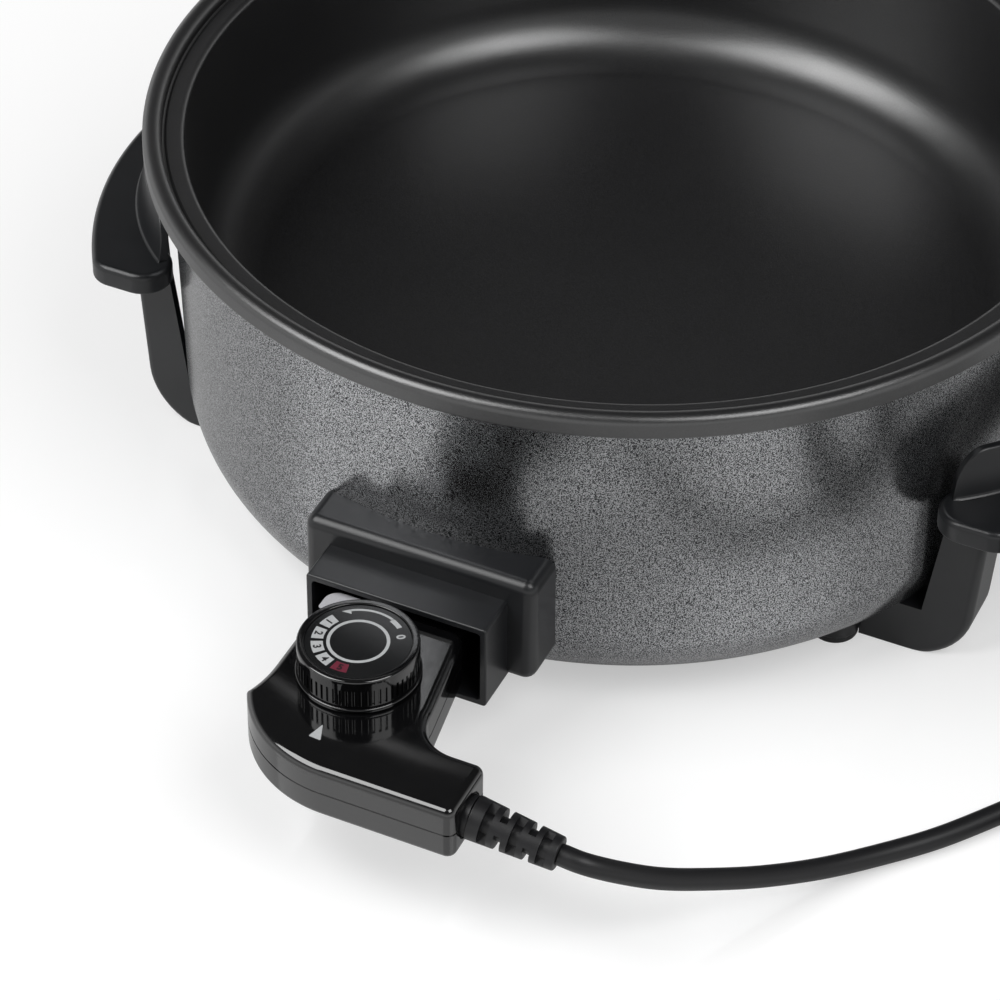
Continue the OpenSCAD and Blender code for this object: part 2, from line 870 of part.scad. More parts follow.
// Shaft with a D flat over its upper end
module spindle_shape(z0, z1) {
    difference() {
        translate([0, 0, z0]) cylinder(r = spindle_r, h = z1 - z0);
        box(2, 5, -5, 5, nut_top + 0.7, z1 + 1);
    }
}

module dial_face() {
    color("#141415")
    translate([dial_x, -dial_y, face_z]) cylinder(r = face_r, h = 0.5);
}

module dial_spindle() {
    color("#c9c9c4")
    translate([dial_x, -dial_y, 0]) spindle_shape(43, spindle_top);
}

// ---------------------------------------------------------------- cord

module cord_lead() {
    color("#1b1b1c")
    sweep(lead_route, cord_r, 10);
}

module cord_coil() {
    color("#1b1b1c")
    translate([coil_x, coil_y, 0])
        rotate_extrude()
            polygon(concat(
                arc([coil_out - cord_r, layer_z], cord_r, -90, 0, 5),
                arc([coil_out - cord_r, layer_z + cord_d], cord_r, 0, 90, 5),
                arc([coil_in + cord_r, layer_z + cord_d], cord_r, 90, 180, 5),
                arc([coil_in + cord_r, layer_z], cord_r, 180, 270, 5)
            ));
}

// Flat band round the bundle of turns
module cord_tie() {
    t = 0.8;
    color("#2a2a2b")
    translate([coil_x, coil_y, 0])
        rotate([0, 0, -60])
            along_y(-4, 4)
                difference() {
                    polygon(rounded_rect(coil_in - t, coil_out + t, 0, 2 * layer_z + cord_d + 1, 3));
                    polygon(rounded_rect(coil_in, coil_out, t, 2 * layer_z + cord_d + 1 - t, 2.4));
                }
}

module cord_tail() {
    color("#1b1b1c")
    sweep(tail_route, cord_r, 10);
}

module at_plug() {
    translate(plug_back) rotate([0, 90, tail_angle - 90]) children();
}

module plug_body() {
    color("#1b1b1c")
    at_plug()
        rotate_extrude()
            polygon(concat(
                [[0, 0], [4.6, 0], [5.6, 14], [8, 18]],
                arc([8, 25], 7, -70, 0, 4),
                [[plug_r - 1, 27], [plug_r, 28], [plug_r, plug_l - 0.8], [plug_r - 0.8, plug_l], [0, plug_l]]
            ));
}

module plug_pins() {
    color("#c9c9c4")
    at_plug()
        for (s = [-1, 1])
            translate([0, s * plug_pin_x, plug_l]) {
                cylinder(r = plug_pin_r, h = plug_pin_l - 1);
                translate([0, 0, plug_pin_l - 1]) cylinder(r1 = plug_pin_r, r2 = 1.5, h = 1);
            }
}

pan();
housing();
heat_plate();
heating_element();
element_clips();
stand_offs();
sensor_block();
terminal_block();
terminal_pins();
earth_strip();
base_cover();
base_screws();
inlet_shroud();
shroud_screws();
handle_left();
handle_right();
handle_screws();
handle_nuts();
feet();
upper_shell();
lower_shell();
contact_block();
contact_sleeves();
probe();
earth_leaf();
thermostat_switch();
dial_bush_nut();
controller_screws();
strain_relief();
dial_knob();
dial_face();
dial_spindle();
cord_lead();
cord_coil();
cord_tie();
cord_tail();
plug_body();
plug_pins();
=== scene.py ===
import json
import math

import bmesh
import bpy
import numpy as np
from mathutils import Matrix, Vector


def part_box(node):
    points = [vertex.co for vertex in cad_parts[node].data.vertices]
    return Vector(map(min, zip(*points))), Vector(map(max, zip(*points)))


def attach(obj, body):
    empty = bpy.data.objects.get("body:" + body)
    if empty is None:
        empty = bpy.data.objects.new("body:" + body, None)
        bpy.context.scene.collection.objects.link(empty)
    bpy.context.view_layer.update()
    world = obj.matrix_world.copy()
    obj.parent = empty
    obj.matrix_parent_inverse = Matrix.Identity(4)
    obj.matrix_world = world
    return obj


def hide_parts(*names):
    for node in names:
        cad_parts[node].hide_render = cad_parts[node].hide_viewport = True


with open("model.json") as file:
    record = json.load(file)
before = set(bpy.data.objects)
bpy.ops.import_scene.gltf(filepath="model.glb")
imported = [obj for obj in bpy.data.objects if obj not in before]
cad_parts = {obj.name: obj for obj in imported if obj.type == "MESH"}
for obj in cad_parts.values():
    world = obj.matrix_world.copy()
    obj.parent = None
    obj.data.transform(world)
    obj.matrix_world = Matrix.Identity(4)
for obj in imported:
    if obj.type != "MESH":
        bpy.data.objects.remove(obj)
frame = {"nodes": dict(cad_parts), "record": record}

bl_info = {
    "name": "Electric skillet",
    "version": (1, 0, 0),
    "blender": (4, 5, 0),
    "location": "View3D > Sidebar > Skillet",
    "description": "Builds a round electric skillet with its plug-in thermostat controller and mains cord",
    "category": "Add Mesh",
}

MM = 0.001
PAN_WALL = 2.5 * MM


# ---------------------------------------------------------------- sizes and colours

def length(name, description, value):
    """A length property whose default is given in metres."""
    return bpy.props.FloatProperty(
        name=name, description=description, default=float(value), min=0.0, unit="LENGTH", precision=5
    )


def hex_colour(name, description, value):
    """A colour kept as an sRGB hex value."""
    return bpy.props.StringProperty(name=name, description=description, default=value)


def low_of(name, axis):
    """The lowest coordinate of a CAD node on an axis."""
    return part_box(name)[0]["xyz".index(axis)]


def high_of(name, axis):
    """The highest coordinate of a CAD node on an axis."""
    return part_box(name)[1]["xyz".index(axis)]


def middle_of(name, axis):
    """The middle of a CAD node on an axis."""
    return (low_of(name, axis) + high_of(name, axis)) / 2


def half_of(name, axis):
    """Half the size of a CAD node along an axis."""
    return (high_of(name, axis) - low_of(name, axis)) / 2


class SkilletPanSizes(bpy.types.PropertyGroup):
    """Pan and housing"""
    rim_radius: length("Rim radius", "Outer radius of the rolled rim", high_of("pan", "x"))
    rim_top: length("Rim top", "Height of the top of the rim", high_of("pan", "z"))
    floor_z: length("Cooking surface", "Height of the pan's floor", high_of("heat_plate", "z") + PAN_WALL)
    wall: length("Pan wall", "Wall thickness of the pan", PAN_WALL)
    floor_radius: length("Flat floor", "Radius of the flat part of the cooking surface", 124.5 * MM)
    corner_radius: length("Corner", "Inside radius between floor and wall", 22 * MM)
    lip_radius: length("Lip", "Inside radius of the wall at the lid's ledge", 148.1 * MM)
    housing_radius: length("Housing radius", "Radius of the housing above its foot curve", 151 * MM)
    housing_top_radius: length("Housing top", "Radius of the housing's top edge", high_of("housing", "x"))
    housing_top: length("Housing height", "Height of the housing's top edge", high_of("housing", "z"))
    housing_bottom: length("Housing bottom", "Height of the housing's bottom edge", low_of("housing", "z"))
    foot_curve: length("Foot curve", "Outside radius of the housing's foot curve", 32 * MM)
    sheet: length("Sheet", "Thickness of the housing's sheet", 1.2 * MM)


class SkilletHandleSizes(bpy.types.PropertyGroup):
    """Handles and their legs"""
    grip_z: length("Grip underside", "Height of the grip plate's underside", 63.3 * MM)
    grip_thickness: length("Grip thickness", "Thickness of the grip plate", 8 * MM)
    grip_half: length("Grip half width", "Half the width of the grip plate", high_of("handle_right", "y"))
    reach: length("Reach", "Distance of the grip's outer edge from the axis", high_of("handle_right", "x"))
    guard_top: length("Guard top", "Height of the finger guard's top edge", high_of("handle_right", "z"))
    leg_outer: length("Leg outer face", "Distance of a leg's outer face from the handle's middle", 65 * MM)
    leg_depth: length("Leg depth", "Depth of a leg along the handle", 19 * MM)
    leg_wall: length("Leg wall", "Thickness of a leg's front wall", 3 * MM)
    foot_x: length("Foot sideways", "Distance of a foot from the pan's axis, sideways", 107.5 * MM)
    foot_y: length("Foot along", "Distance of a foot from the pan's axis, front to back", 66 * MM)


class SkilletControllerSizes(bpy.types.PropertyGroup):
    """Inlet shroud, controller and dial"""
    flange_front: length("Flange front", "Distance of the flange's front from the pan's axis", 162.5 * MM)
    tube_front: length("Socket front", "Distance of the socket's front from the pan's axis", 178.2 * MM)
    parting_z: length("Parting line", "Height of the line between the shells", high_of("lower_shell", "z"))
    shell_top: length("Shell top", "Height of the upper shell's top face", high_of("upper_shell", "z"))
    shell_bottom: length("Shell bottom", "Height of the lower shell's underside", low_of("lower_shell", "z"))
    top_edge: length("Top edge", "Rounding of the upper shell's top edge", 3 * MM)
    shell_wall: length("Shell wall", "Wall thickness of the shells", 2 * MM)
    dial_x: length("Dial sideways", "Distance of the dial's axis to the right", middle_of("dial_knob", "x"))
    dial_y: length("Dial in front", "Distance of the dial's axis in front", -middle_of("dial_knob", "y"))
    knob_bottom: length("Knob bottom", "Height of the knob's underside", low_of("dial_knob", "z"))
    knob_top: length("Knob top", "Height of the knob's rim", high_of("dial_knob", "z"))
    collar_radius: length("Collar radius", "Radius of the knob's collar", half_of("dial_knob", "x"))
    face_radius: length("Dial face", "Radius of the printed dial face", half_of("dial_face", "x"))
    face_top: length("Face height", "Height of the printed dial face", high_of("dial_face", "z"))


class SkilletCordSizes(bpy.types.PropertyGroup):
    """Mains cord and plug"""
    diameter: length("Cord diameter", "Diameter of the mains cord", 7 * MM)
    layer_z: length("First layer", "Height of the cord's middle where it lies on the table", 3.6 * MM)
    coil_x: length("Coil sideways", "Middle of the coil, sideways", 251 * MM)
    coil_y: length("Coil in front", "Distance of the coil's middle in front of the pan's axis", 117 * MM)
    coil_radius: length("Coil radius", "Radius of the coil at the middle of its turns", 38.5 * MM)


class SkilletColours(bpy.types.PropertyGroup):
    """Colours of the finishes"""
    lacquer_dark: hex_colour("Lacquer, dark", "Dark cells of the hammered lacquer", "#313234")
    # The light cells are partly the lacquer's flake and partly painted highlights of the hammered bumps.
    lacquer_light_and_highlight: hex_colour("Lacquer, light", "Light cells of the hammered lacquer", "#b8b9bb")
    coating: hex_colour("Non-stick coating", "Coating of the pan", "#0b0b0c")
    handle_black: hex_colour("Handle black", "Thermoset of the handles and shroud", "#17181a")
    shell_black: hex_colour("Controller black", "Plastic of the controller", "#070708")
    cord_black: hex_colour("Cord black", "Sheath of the cord", "#101012")
    print_grey: hex_colour("Print grey", "Printed scale on the dial", "#b4b6b7")
    print_red: hex_colour("Print red", "Hottest segment on the dial", "#6b2234")


# ---------------------------------------------------------------- shapes

def unit(vectors):
    """Each vector divided by its own length."""
    return vectors / np.linalg.norm(vectors, axis=-1, keepdims=True)


def polar(centre, radius, start, end, count):
    """Points on a circle: centre + radius * (cos a, sin a), with a from start to end in degrees."""
    angle = np.radians(np.linspace(start, end, count))
    return np.asarray(centre) + radius * np.stack([np.cos(angle), np.sin(angle)], axis=-1)


def distinct(outline):
    """The closed outline without points that repeat the one before."""
    gap = np.linalg.norm(outline - np.roll(outline, 1, axis=0), axis=1)
    return outline[gap > 1e-7]


def fillet(corners, steps=6):
    """Closed outline in which each corner (x, y, r) is an arc of radius r that touches both of its edges."""
    corners = np.asarray(corners, float)
    point, radius = corners[:, :2], corners[:, 2:]
    back = unit(np.roll(point, 1, axis=0) - point)
    ahead = unit(np.roll(point, -1, axis=0) - point)
    half = np.arccos(np.clip((back * ahead).sum(axis=1, keepdims=True), -1, 1)) / 2
    centre = point + unit(back + ahead) * radius / np.sin(half)
    start = point + back * radius / np.tan(half) - centre
    end = point + ahead * radius / np.tan(half) - centre
    first = np.arctan2(start[:, 1:], start[:, :1])
    turn = (np.arctan2(end[:, 1:], end[:, :1]) - first + np.pi) % (2 * np.pi) - np.pi
    angle = first + turn * np.linspace(0, 1, steps + 1)
    arc = np.stack([np.cos(angle), np.sin(angle)], axis=-1) * radius[:, None, :]
    return distinct((centre[:, None, :] + arc).reshape(-1, 2))


def inset(outline, depth):
    """Every edge of a counter-clockwise outline moved inwards by depth, its corners along their mitres."""
    ahead = unit(np.roll(outline, -1, axis=0) - outline)
    back = unit(outline - np.roll(outline, 1, axis=0))
    normal = np.stack([-ahead[:, 1], ahead[:, 0]], axis=1)
    before = np.stack([-back[:, 1], back[:, 0]], axis=1)
    mitre = (normal + before) / (1 + (normal * before).sum(axis=1, keepdims=True))
    return outline + depth * mitre


def rounded(corners, steps=6):
    """Filleted outline at any depth inside its corners (x, y, r): each moves in along its mitre, and a round
    corner's radius shrinks by the depth while a hollow one's grows."""
    corners = np.asarray(corners, float)
    point = corners[:, :2]
    back, ahead = point - np.roll(point, 1, axis=0), np.roll(point, -1, axis=0) - point
    turn = np.sign(back[:, 0] * ahead[:, 1] - back[:, 1] * ahead[:, 0])

    def outline(depth):
        radius = np.maximum(corners[:, 2] - turn * depth, 0.05 * MM)
        return fillet(np.column_stack([inset(point, depth), radius]), steps)
    return outline


def quads(rows, columns, close_rows, close_columns):
    """Four-sided faces of a grid of rows * columns points, joined end to end where it is closed."""
    row = np.arange(rows if close_rows else rows - 1)[:, None]
    column = np.arange(columns if close_columns else columns - 1)[None, :]
    below = (row + 1) % rows
    beside = (column + 1) % columns
    corners = [
        row * columns + column, row * columns + beside, below * columns + beside, below * columns + column
    ]
    return np.stack([c + 0 * row + 0 * column for c in corners], axis=-1).reshape(-1, 4)


def loft(rings):
    """Solid through rings of points: quads between neighbours and one flat face over each end."""
    rings = np.asarray(rings, float)
    count, size = rings.shape[:2]
    faces = quads(count, size, False, True).tolist()
    faces.append(list(range(size))[::-1])
    faces.append(list(range((count - 1) * size, count * size)))
    return rings.reshape(-1, 3), faces


def slab(shape, low, high, low_edge=0.0, high_edge=0.0, steps=5):
    """Outline, or the outline at each depth, carried from height low to high. On a rounded edge of radius e
    the depth is e * (1 - cos t) at e * sin t up the curve, with t from 0 to a quarter turn."""
    at_depth = shape if callable(shape) else lambda d: inset(shape, d)
    t = np.linspace(0, np.pi / 2, steps + 1)
    depth = np.concatenate([low_edge * (1 - np.sin(t)), high_edge * (1 - np.cos(t))])
    height = np.concatenate([low + low_edge * (1 - np.cos(t)), high - high_edge + high_edge * np.sin(t)])
    return loft([np.insert(at_depth(d), 2, z, axis=1) for d, z in zip(depth, height)])


def lay_along_y(surface):
    """A surface drawn in (x, z) and carried along its third axis, with that axis turned to Y."""
    points, faces = surface
    return points[:, [0, 2, 1]], faces


def turned(points, degrees):
    """Points turned about the upright axis, to (x cos a - y sin a, x sin a + y cos a) at their heights."""
    cos, sin = math.cos(math.radians(degrees)), math.sin(math.radians(degrees))
    x, y = points[..., :1], points[..., 1:2]
    return np.concatenate([x * cos - y * sin, x * sin + y * cos, points[..., 2:]], axis=-1)


def lay_along_x(surface):
    """A surface drawn round the Z axis, with that axis laid along X."""
    points, faces = surface
    return points[:, [2, 0, 1]], faces


def revolve(profile, count, centre=(0.0, 0.0), closed=False):
    """Profile (radius, height) carried round an upright axis: x = radius * cos a, y = radius * sin a."""
    angle = np.linspace(0, 2 * np.pi, count, endpoint=False)[:, None]
    radius, height = profile[:, 0], profile[:, 1]
    points = np.stack(
        [centre[0] + radius * np.cos(angle), centre[1] + radius * np.sin(angle), height + 0 * angle], axis=-1
    )
    return points.reshape(-1, 3), quads(count, len(profile), True, closed).tolist()


def block(x, y, z):
    """Box between two numbers on each axis."""
    return loft([[[x[i], y[j], h] for i, j in ((0, 0), (1, 0), (1, 1), (0, 1))] for h in z])


def rectangle(half, low, high, radius, top_radius=None):
    """Corners (x, z, r) of an upright rectangle that is centred sideways."""
    above = radius if top_radius is None else top_radius
    return [(-half, low, radius), (half, low, radius), (half, high, above), (-half, high, above)]


# ---------------------------------------------------------------- objects

def tidied(mesh):
    """Merges doubles, drops faces without area and turns the closed mesh's faces outwards."""
    work = bmesh.new()
    work.from_mesh(mesh)
    bmesh.ops.remove_doubles(work, verts=work.verts, dist=2e-6)
    bmesh.ops.dissolve_degenerate(work, edges=work.edges, dist=1e-7)
    if work.calc_volume(signed=True) < 0:
        bmesh.ops.reverse_faces(work, faces=work.faces)
    work.to_mesh(mesh)
    work.free()
    return mesh


def solid(name, *surfaces):
    """Object at the origin made of closed surfaces, each given as its points and faces."""
    points, faces = [], []
    for surface_points, surface_faces in surfaces:
        start = sum(len(p) for p in points)
        points.append(surface_points)
        faces += [[start + i for i in face] for face in surface_faces]
    mesh = bpy.data.meshes.new(name)
    mesh.from_pydata(np.concatenate(points).tolist(), [], faces)
    tidied(mesh)
    piece = bpy.data.objects.new(name, mesh)
    bpy.context.scene.collection.objects.link(piece)
    return piece


def settle(piece):
    """Puts the result of a piece's modifiers into its mesh."""
    bpy.context.view_layer.update()
    result = bpy.data.meshes.new_from_object(piece.evaluated_get(bpy.context.evaluated_depsgraph_get()))
    piece.modifiers.clear()
    old, piece.data = piece.data, result
    bpy.data.meshes.remove(old)
    return piece


def carve(piece, operation, *tools):
    """Joins or cuts a piece with closed surfaces, by Booleans in the order given."""
    for surface in tools:
        tool = solid("tool", surface)
        cut = piece.modifiers.new("carve", "BOOLEAN")
        cut.operation = operation
        cut.solver = "MANIFOLD"
        cut.object = tool
        settle(piece)
        bpy.data.objects.remove(tool)
    return piece


# The angle in degrees from which an edge is softened, and how far large faces lead in the shading.
BEVEL_FROM = 40.0
NORMAL_WEIGHT = 60


def finish_piece(piece, finish, body, replaces=(), sharp=32.0, edge=0.0):
    """Gives a new piece its material, softened edges, smooth shading that stays crisp at sharp edges, and
    its place in the frame."""
    tidied(piece.data)
    piece.data.materials.clear()
    piece.data.materials.append(material(finish))
    piece.data.polygons.foreach_set("material_index", np.zeros(len(piece.data.polygons), np.int32))
    if edge:
        soft = piece.modifiers.new("softened edges", "BEVEL")
        soft.width = edge
        soft.segments = 2
        soft.limit_method = "ANGLE"
        soft.angle_limit = math.radians(BEVEL_FROM)
        settle(piece)
    piece.data.shade_smooth()
    piece.data.set_sharp_from_angle(angle=math.radians(sharp))
    weighted = piece.modifiers.new("flat faces stay flat", "WEIGHTED_NORMAL")
    weighted.keep_sharp = True
    weighted.weight = NORMAL_WEIGHT
    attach(piece, body)
    if replaces:
        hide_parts(*replaces)
    return piece


def to_linear(value, factor=1.0):
    """sRGB hex to the linear colour that the shader takes, made darker or lighter by a factor."""
    channels = np.array([int(value[i:i + 2], 16) for i in (1, 3, 5)]) / 255
    linear = np.where(channels <= 0.04045, channels / 12.92, ((channels + 0.055) / 1.055) ** 2.4)
    return (*np.minimum(linear * factor, 1.0).tolist(), 1.0)


def node(tree, kind, inputs=None, stops=(), **settings):
    """Adds a node with its settings and, on a colour ramp, its stops: each a place and a linear colour. An
    input is a value, or another node's output socket to link."""
    added = tree.nodes.new(kind)
    for name, value in settings.items():
        setattr(added, name, value)
    for name, value in (inputs or {}).items():
        if isinstance(value, bpy.types.NodeSocket):
            tree.links.new(value, added.inputs[name])
        else:
            added.inputs[name].default_value = value
    for index, (place, colour) in enumerate(stops):
        added.color_ramp.elements[index].position = place
        added.color_ramp.elements[index].color = colour
    return added


def new_material(name, inputs=None):
    """A material with a Principled shader and that shader's fixed inputs, its tree and the shader."""
    made = bpy.data.materials.new(name)
    made.use_nodes = True
    tree = made.node_tree
    shader = tree.nodes["Principled BSDF"]
    for socket, value in (inputs or {}).items():
        shader.inputs[socket].default_value = value
    return made, tree, shader


def grey(level):
    """Linear grey."""
    return (level, level, level, 1.0)


def pattern(tree, size, detail=2.0, roughness=0.5):
    """Cloudy pattern from 0 to 1 in the piece's own coordinates, with clouds about size millimetres wide."""
    place = node(tree, "ShaderNodeTexCoord").outputs["Object"]
    clouds = node(tree, "ShaderNodeTexNoise", {
        "Vector": place, "Scale": 1 / (size * MM), "Detail": detail, "Roughness": roughness
    })
    return clouds.outputs["Fac"]


def dress(tree, shader, factor, colours=(), roughness=(), relief=()):
    """Lets a factor from 0 to 1 set the shader's colour, roughness and relief. The colours are two pairs of
    a place in the factor and a linear colour, the roughness is its lowest and highest value, and the relief
    is a depth in millimetres and a strength."""
    if colours:
        ramp = node(tree, "ShaderNodeValToRGB", {"Fac": factor}, colours)
        tree.links.new(ramp.outputs["Color"], shader.inputs["Base Color"])
    if roughness:
        low, high = roughness
        spread = node(tree, "ShaderNodeMapRange", {"Value": factor, "To Min": low, "To Max": high})
        tree.links.new(spread.outputs["Result"], shader.inputs["Roughness"])
    if relief:
        depth, strength = relief
        bump = node(tree, "ShaderNodeBump", {"Height": factor, "Distance": depth * MM, "Strength": strength})
        tree.links.new(bump.outputs["Normal"], shader.inputs["Normal"])


def hammered_lacquer(colours):
    """Hammer-finish stoving lacquer on steel: metal flake drawn into small light cells with dark borders,
    the light cells partly painted highlights of the hammered bumps.
    """
    made, tree, shader = new_material("hammered_grey_lacquer", {"Metallic": 0.95})
    flake_and_highlight_cells = pattern(tree, size=0.38, detail=1.0)
    tones = [(0.4, to_linear(colours.lacquer_dark)), (0.6, to_linear(colours.lacquer_light_and_highlight))]
    dress(tree, shader, flake_and_highlight_cells, tones, roughness=(0.17, 0.25), relief=(0.03, 0.5))
    return made


def nonstick_coating(colours):
    """Sprayed PTFE coating on pressed aluminium: near-black satin with a fine sparkle of mica, whose grains
    are drawn coarser than they are so that they show."""
    made, tree, shader = new_material("nonstick_coating", {
        "Metallic": 0.2, "IOR": 1.7, "Specular IOR Level": 1.0
    })
    mica = pattern(tree, size=0.6, detail=3.0, roughness=0.7)
    tones = [(0.35, to_linear(colours.coating)), (0.8, to_linear("#232325"))]
    dress(tree, shader, mica, tones, relief=(0.06, 0.8))
    dress(tree, shader, pattern(tree, size=22.0), roughness=(0.3, 0.36))
    return made


def moulded_thermoset(colours):
    """Compression-moulded phenolic: satin black, with the faint even grain of the tool's blasted surface,
    which is drawn coarser than it is."""
    made, tree, shader = new_material("satin_black_thermoset")
    tones = [(0.3, to_linear(colours.handle_black)), (0.75, to_linear("#1e1f21"))]
    dress(tree, shader, pattern(tree, size=14.0, detail=3.0), tones)
    dress(tree, shader, pattern(tree, size=0.5, roughness=0.6), roughness=(0.26, 0.36), relief=(0.012, 0.5))
    return made


def polished_plastic(colours):
    """Injection-moulded ABS from a polished tool: deep black with clear reflections and faint wear."""
    made, tree, shader = new_material("polished_black_abs", {"Specular IOR Level": 1.0})
    tones = [(0.3, to_linear(colours.shell_black)), (0.8, to_linear("#0c0c0d"))]
    wear = pattern(tree, size=9.0, detail=5.0, roughness=0.65)
    dress(tree, shader, wear, tones, roughness=(0.05, 0.12))
    dress(tree, shader, pattern(tree, size=4.0, detail=1.0), relief=(0.01, 0.25))
    return made


def printed_face():
    """Gloss black disc that carries the dial's screen print, with a little dust."""
    made, tree, shader = new_material("gloss_black_disc")
    dust = pattern(tree, size=0.8, detail=4.0, roughness=0.7)
    tones = [(0.45, to_linear("#0b0c0d")), (0.85, to_linear("#141516"))]
    dress(tree, shader, dust, tones, roughness=(0.16, 0.26))
    return made


def printing_ink(name, value):
    """Screen-printed ink: flat colour with the slight unevenness of a thin film."""
    made, tree, shader = new_material(name)
    film = pattern(tree, size=0.6, detail=3.0, roughness=0.6)
    tones = [(0.3, to_linear(value, 0.86)), (0.7, to_linear(value))]
    dress(tree, shader, film, tones, roughness=(0.4, 0.5))
    return made


def soft_rubber(name, value):
    """Moulded rubber or PVC: dull black with a fine surface grain, drawn a little coarser than it is."""
    made, tree, shader = new_material(name)
    grain = pattern(tree, size=0.7, detail=3.0, roughness=0.6)
    tones = [(0.3, to_linear(value)), (0.85, to_linear(value, 1.5))]
    dress(tree, shader, grain, tones, roughness=(0.38, 0.5), relief=(0.015, 0.5))
    return made


def metal(name, value, rough, grain, depth):
    """Bare or plated metal with the fine marks of handling and a little variation in its polish. The grain
    and the depth of the marks are in millimetres."""
    made, tree, shader = new_material(name, {"Metallic": 1.0})
    marks = pattern(tree, grain, detail=4.0, roughness=0.6)
    tones = [(0.3, to_linear(value, 0.8)), (0.7, to_linear(value))]
    dress(tree, shader, marks, tones, roughness=(rough * 0.8, rough * 1.2), relief=(depth, 0.4))
    return made


def unglazed_ceramic():
    """Pressed steatite: chalky off-white with fine pits."""
    made, tree, shader = new_material("unglazed_steatite", {"Roughness": 0.75})
    pits = pattern(tree, size=0.9, detail=4.0, roughness=0.65)
    dress(tree, shader, pits, [(0.3, to_linear("#bfb8a8")), (0.6, to_linear("#ded8ca"))], relief=(0.05, 0.5))
    return made


def painted_sheet():
    """Black stoving paint on steel sheet: slight orange peel."""
    made, tree, shader = new_material("black_painted_sheet")
    tones = [(0.3, to_linear("#1f1f20")), (0.8, to_linear("#2a2a2b"))]
    dress(tree, shader, pattern(tree, size=1.6), tones, roughness=(0.38, 0.5), relief=(0.04, 0.5))
    return made


FINISHES = {
    "hammered_grey": hammered_lacquer,
    "nonstick_black": nonstick_coating,
    "satin_black_plastic": moulded_thermoset,
    "gloss_black_plastic": polished_plastic,
    "dial_print": lambda c: printed_face(),
    "print_grey": lambda c: printing_ink("grey_ink", c.print_grey),
    # The print_silver finish is the pale grey of the patch on the neck, a painted reflection rather than
    # print.
    "print_silver": lambda c: printing_ink("painted_reflection_grey", "#b6b6ba"),
    "print_red": lambda c: printing_ink("red_ink", c.print_red),
    "print_black": lambda c: printing_ink("black_ink", "#101011"),
    "cord_rubber": lambda c: soft_rubber("pvc_flex", c.cord_black),
    "foot_rubber": lambda c: soft_rubber("foot_rubber", "#161617"),
    "tie_plastic": lambda c: soft_rubber("tie_band", "#232324"),
    "plug_plastic": lambda c: soft_rubber("plug_moulding", "#1a1a1b"),
    "bare_aluminium": lambda c: metal("mill_aluminium", "#b9bbbd", rough=0.42, grain=1.4, depth=0.02),
    "sheath_steel": lambda c: metal("heat_darkened_steel", "#75716c", rough=0.48, grain=1.0, depth=0.02),
    "contact_nickel": lambda c: metal("nickel_plate", "#c8c4ba", rough=0.2, grain=0.8, depth=0.006),
    "contact_brass": lambda c: metal("rolled_brass", "#b98a3c", rough=0.28, grain=0.8, depth=0.01),
    "fastener_steel": lambda c: metal("zinc_plate", "#b4b6b8", rough=0.34, grain=0.9, depth=0.01),
    "ceramic_white": lambda c: unglazed_ceramic(),
    "base_black": lambda c: painted_sheet(),
}
# The materials that have been made so far, by finish.
MADE = {}


def material(finish):
    """The material of a finish, made the first time that it is asked for."""
    if finish not in MADE:
        MADE[finish] = FINISHES[finish](bpy.context.scene.skillet_colours)
    return MADE[finish]


# ---------------------------------------------------------------- outlines that several pieces share

def housing_corners(sizes, depth):
    """Corners of the housing's section at a depth inside its outer face, from the top to the foot curve."""
    lean = (sizes.housing_top_radius - sizes.housing_radius) / (sizes.housing_top - sizes.foot_curve)
    foot_x = sizes.housing_radius - lean * sizes.foot_curve - depth
    return [
        (sizes.housing_top_radius - depth, sizes.housing_top, 0.0),
        (foot_x, sizes.housing_bottom + depth, sizes.foot_curve - depth),
    ]


def housing_filled(sizes):
    """Everything inside the housing's outer face."""
    corners = [(0, sizes.housing_top, 0.0)] + housing_corners(sizes, 0.0) + [(0, sizes.housing_bottom, 0.0)]
    return revolve(fillet(corners, 20), 256)


# The controller's plan: a flaring hollow side, a round belly, a neck that enters the socket and an arm to
# the right, whose elbow is hollow.
FLARE_CENTRE = (-64 * MM, -214 * MM)
FLARE_RADIUS = 40 * MM
BELLY_CENTRE = (10 * MM, -209 * MM)
BELLY_RADIUS = 41 * MM
NECK_HALF = 24 * MM
NECK_CORNER = 5 * MM
END_CORNER = 3.2 * MM
ARM_END = 54.3 * MM
BACK_Y = -176 * MM
FRONT_Y = -250 * MM
ARM_Y = -226.2 * MM
ELBOW = 14 * MM
ELBOW_X = 43 * MM


def shell_outline(depth=0.0):
    """Plan outline of the controller at a depth inside its walls: a neck, a side that flares where two arcs
    cross, a belly and an arm. Hollow arcs grow by the depth and round ones shrink by it."""
    flare, belly = np.array(FLARE_CENTRE), np.array(BELLY_CENTRE)
    hollow, full = FLARE_RADIUS + depth, BELLY_RADIUS - depth
    neck, end = NECK_CORNER - depth, END_CORNER - depth
    apart = np.linalg.norm(belly - flare)
    aim = math.degrees(math.atan2(*(belly - flare)[::-1]))
    tip_angle = aim - math.degrees(math.acos((hollow**2 + apart**2 - full**2) / (2 * hollow * apart)))
    tip = polar(flare, hollow, tip_angle, tip_angle, 1)[0]
    belly_start = math.degrees(math.atan2(*(tip - belly)[::-1]))
    return np.concatenate([
        polar((-NECK_HALF + NECK_CORNER, BACK_Y - NECK_CORNER), neck, 90, 180, 9),
        polar(flare, hollow, 0, tip_angle, 12),
        polar(belly, full, belly_start, -90, 40)[1:],
        polar((ARM_END - END_CORNER, FRONT_Y + END_CORNER), end, -90, 0, 8),
        polar((ARM_END - END_CORNER, ARM_Y - END_CORNER), end, 0, 90, 8),
        polar((ELBOW_X, ARM_Y + ELBOW), ELBOW + depth, -90, -180, 14),
        polar((NECK_HALF - NECK_CORNER, BACK_Y - NECK_CORNER), neck, 0, 90, 9),
    ])


# ---------------------------------------------------------------- operators: camera and stage

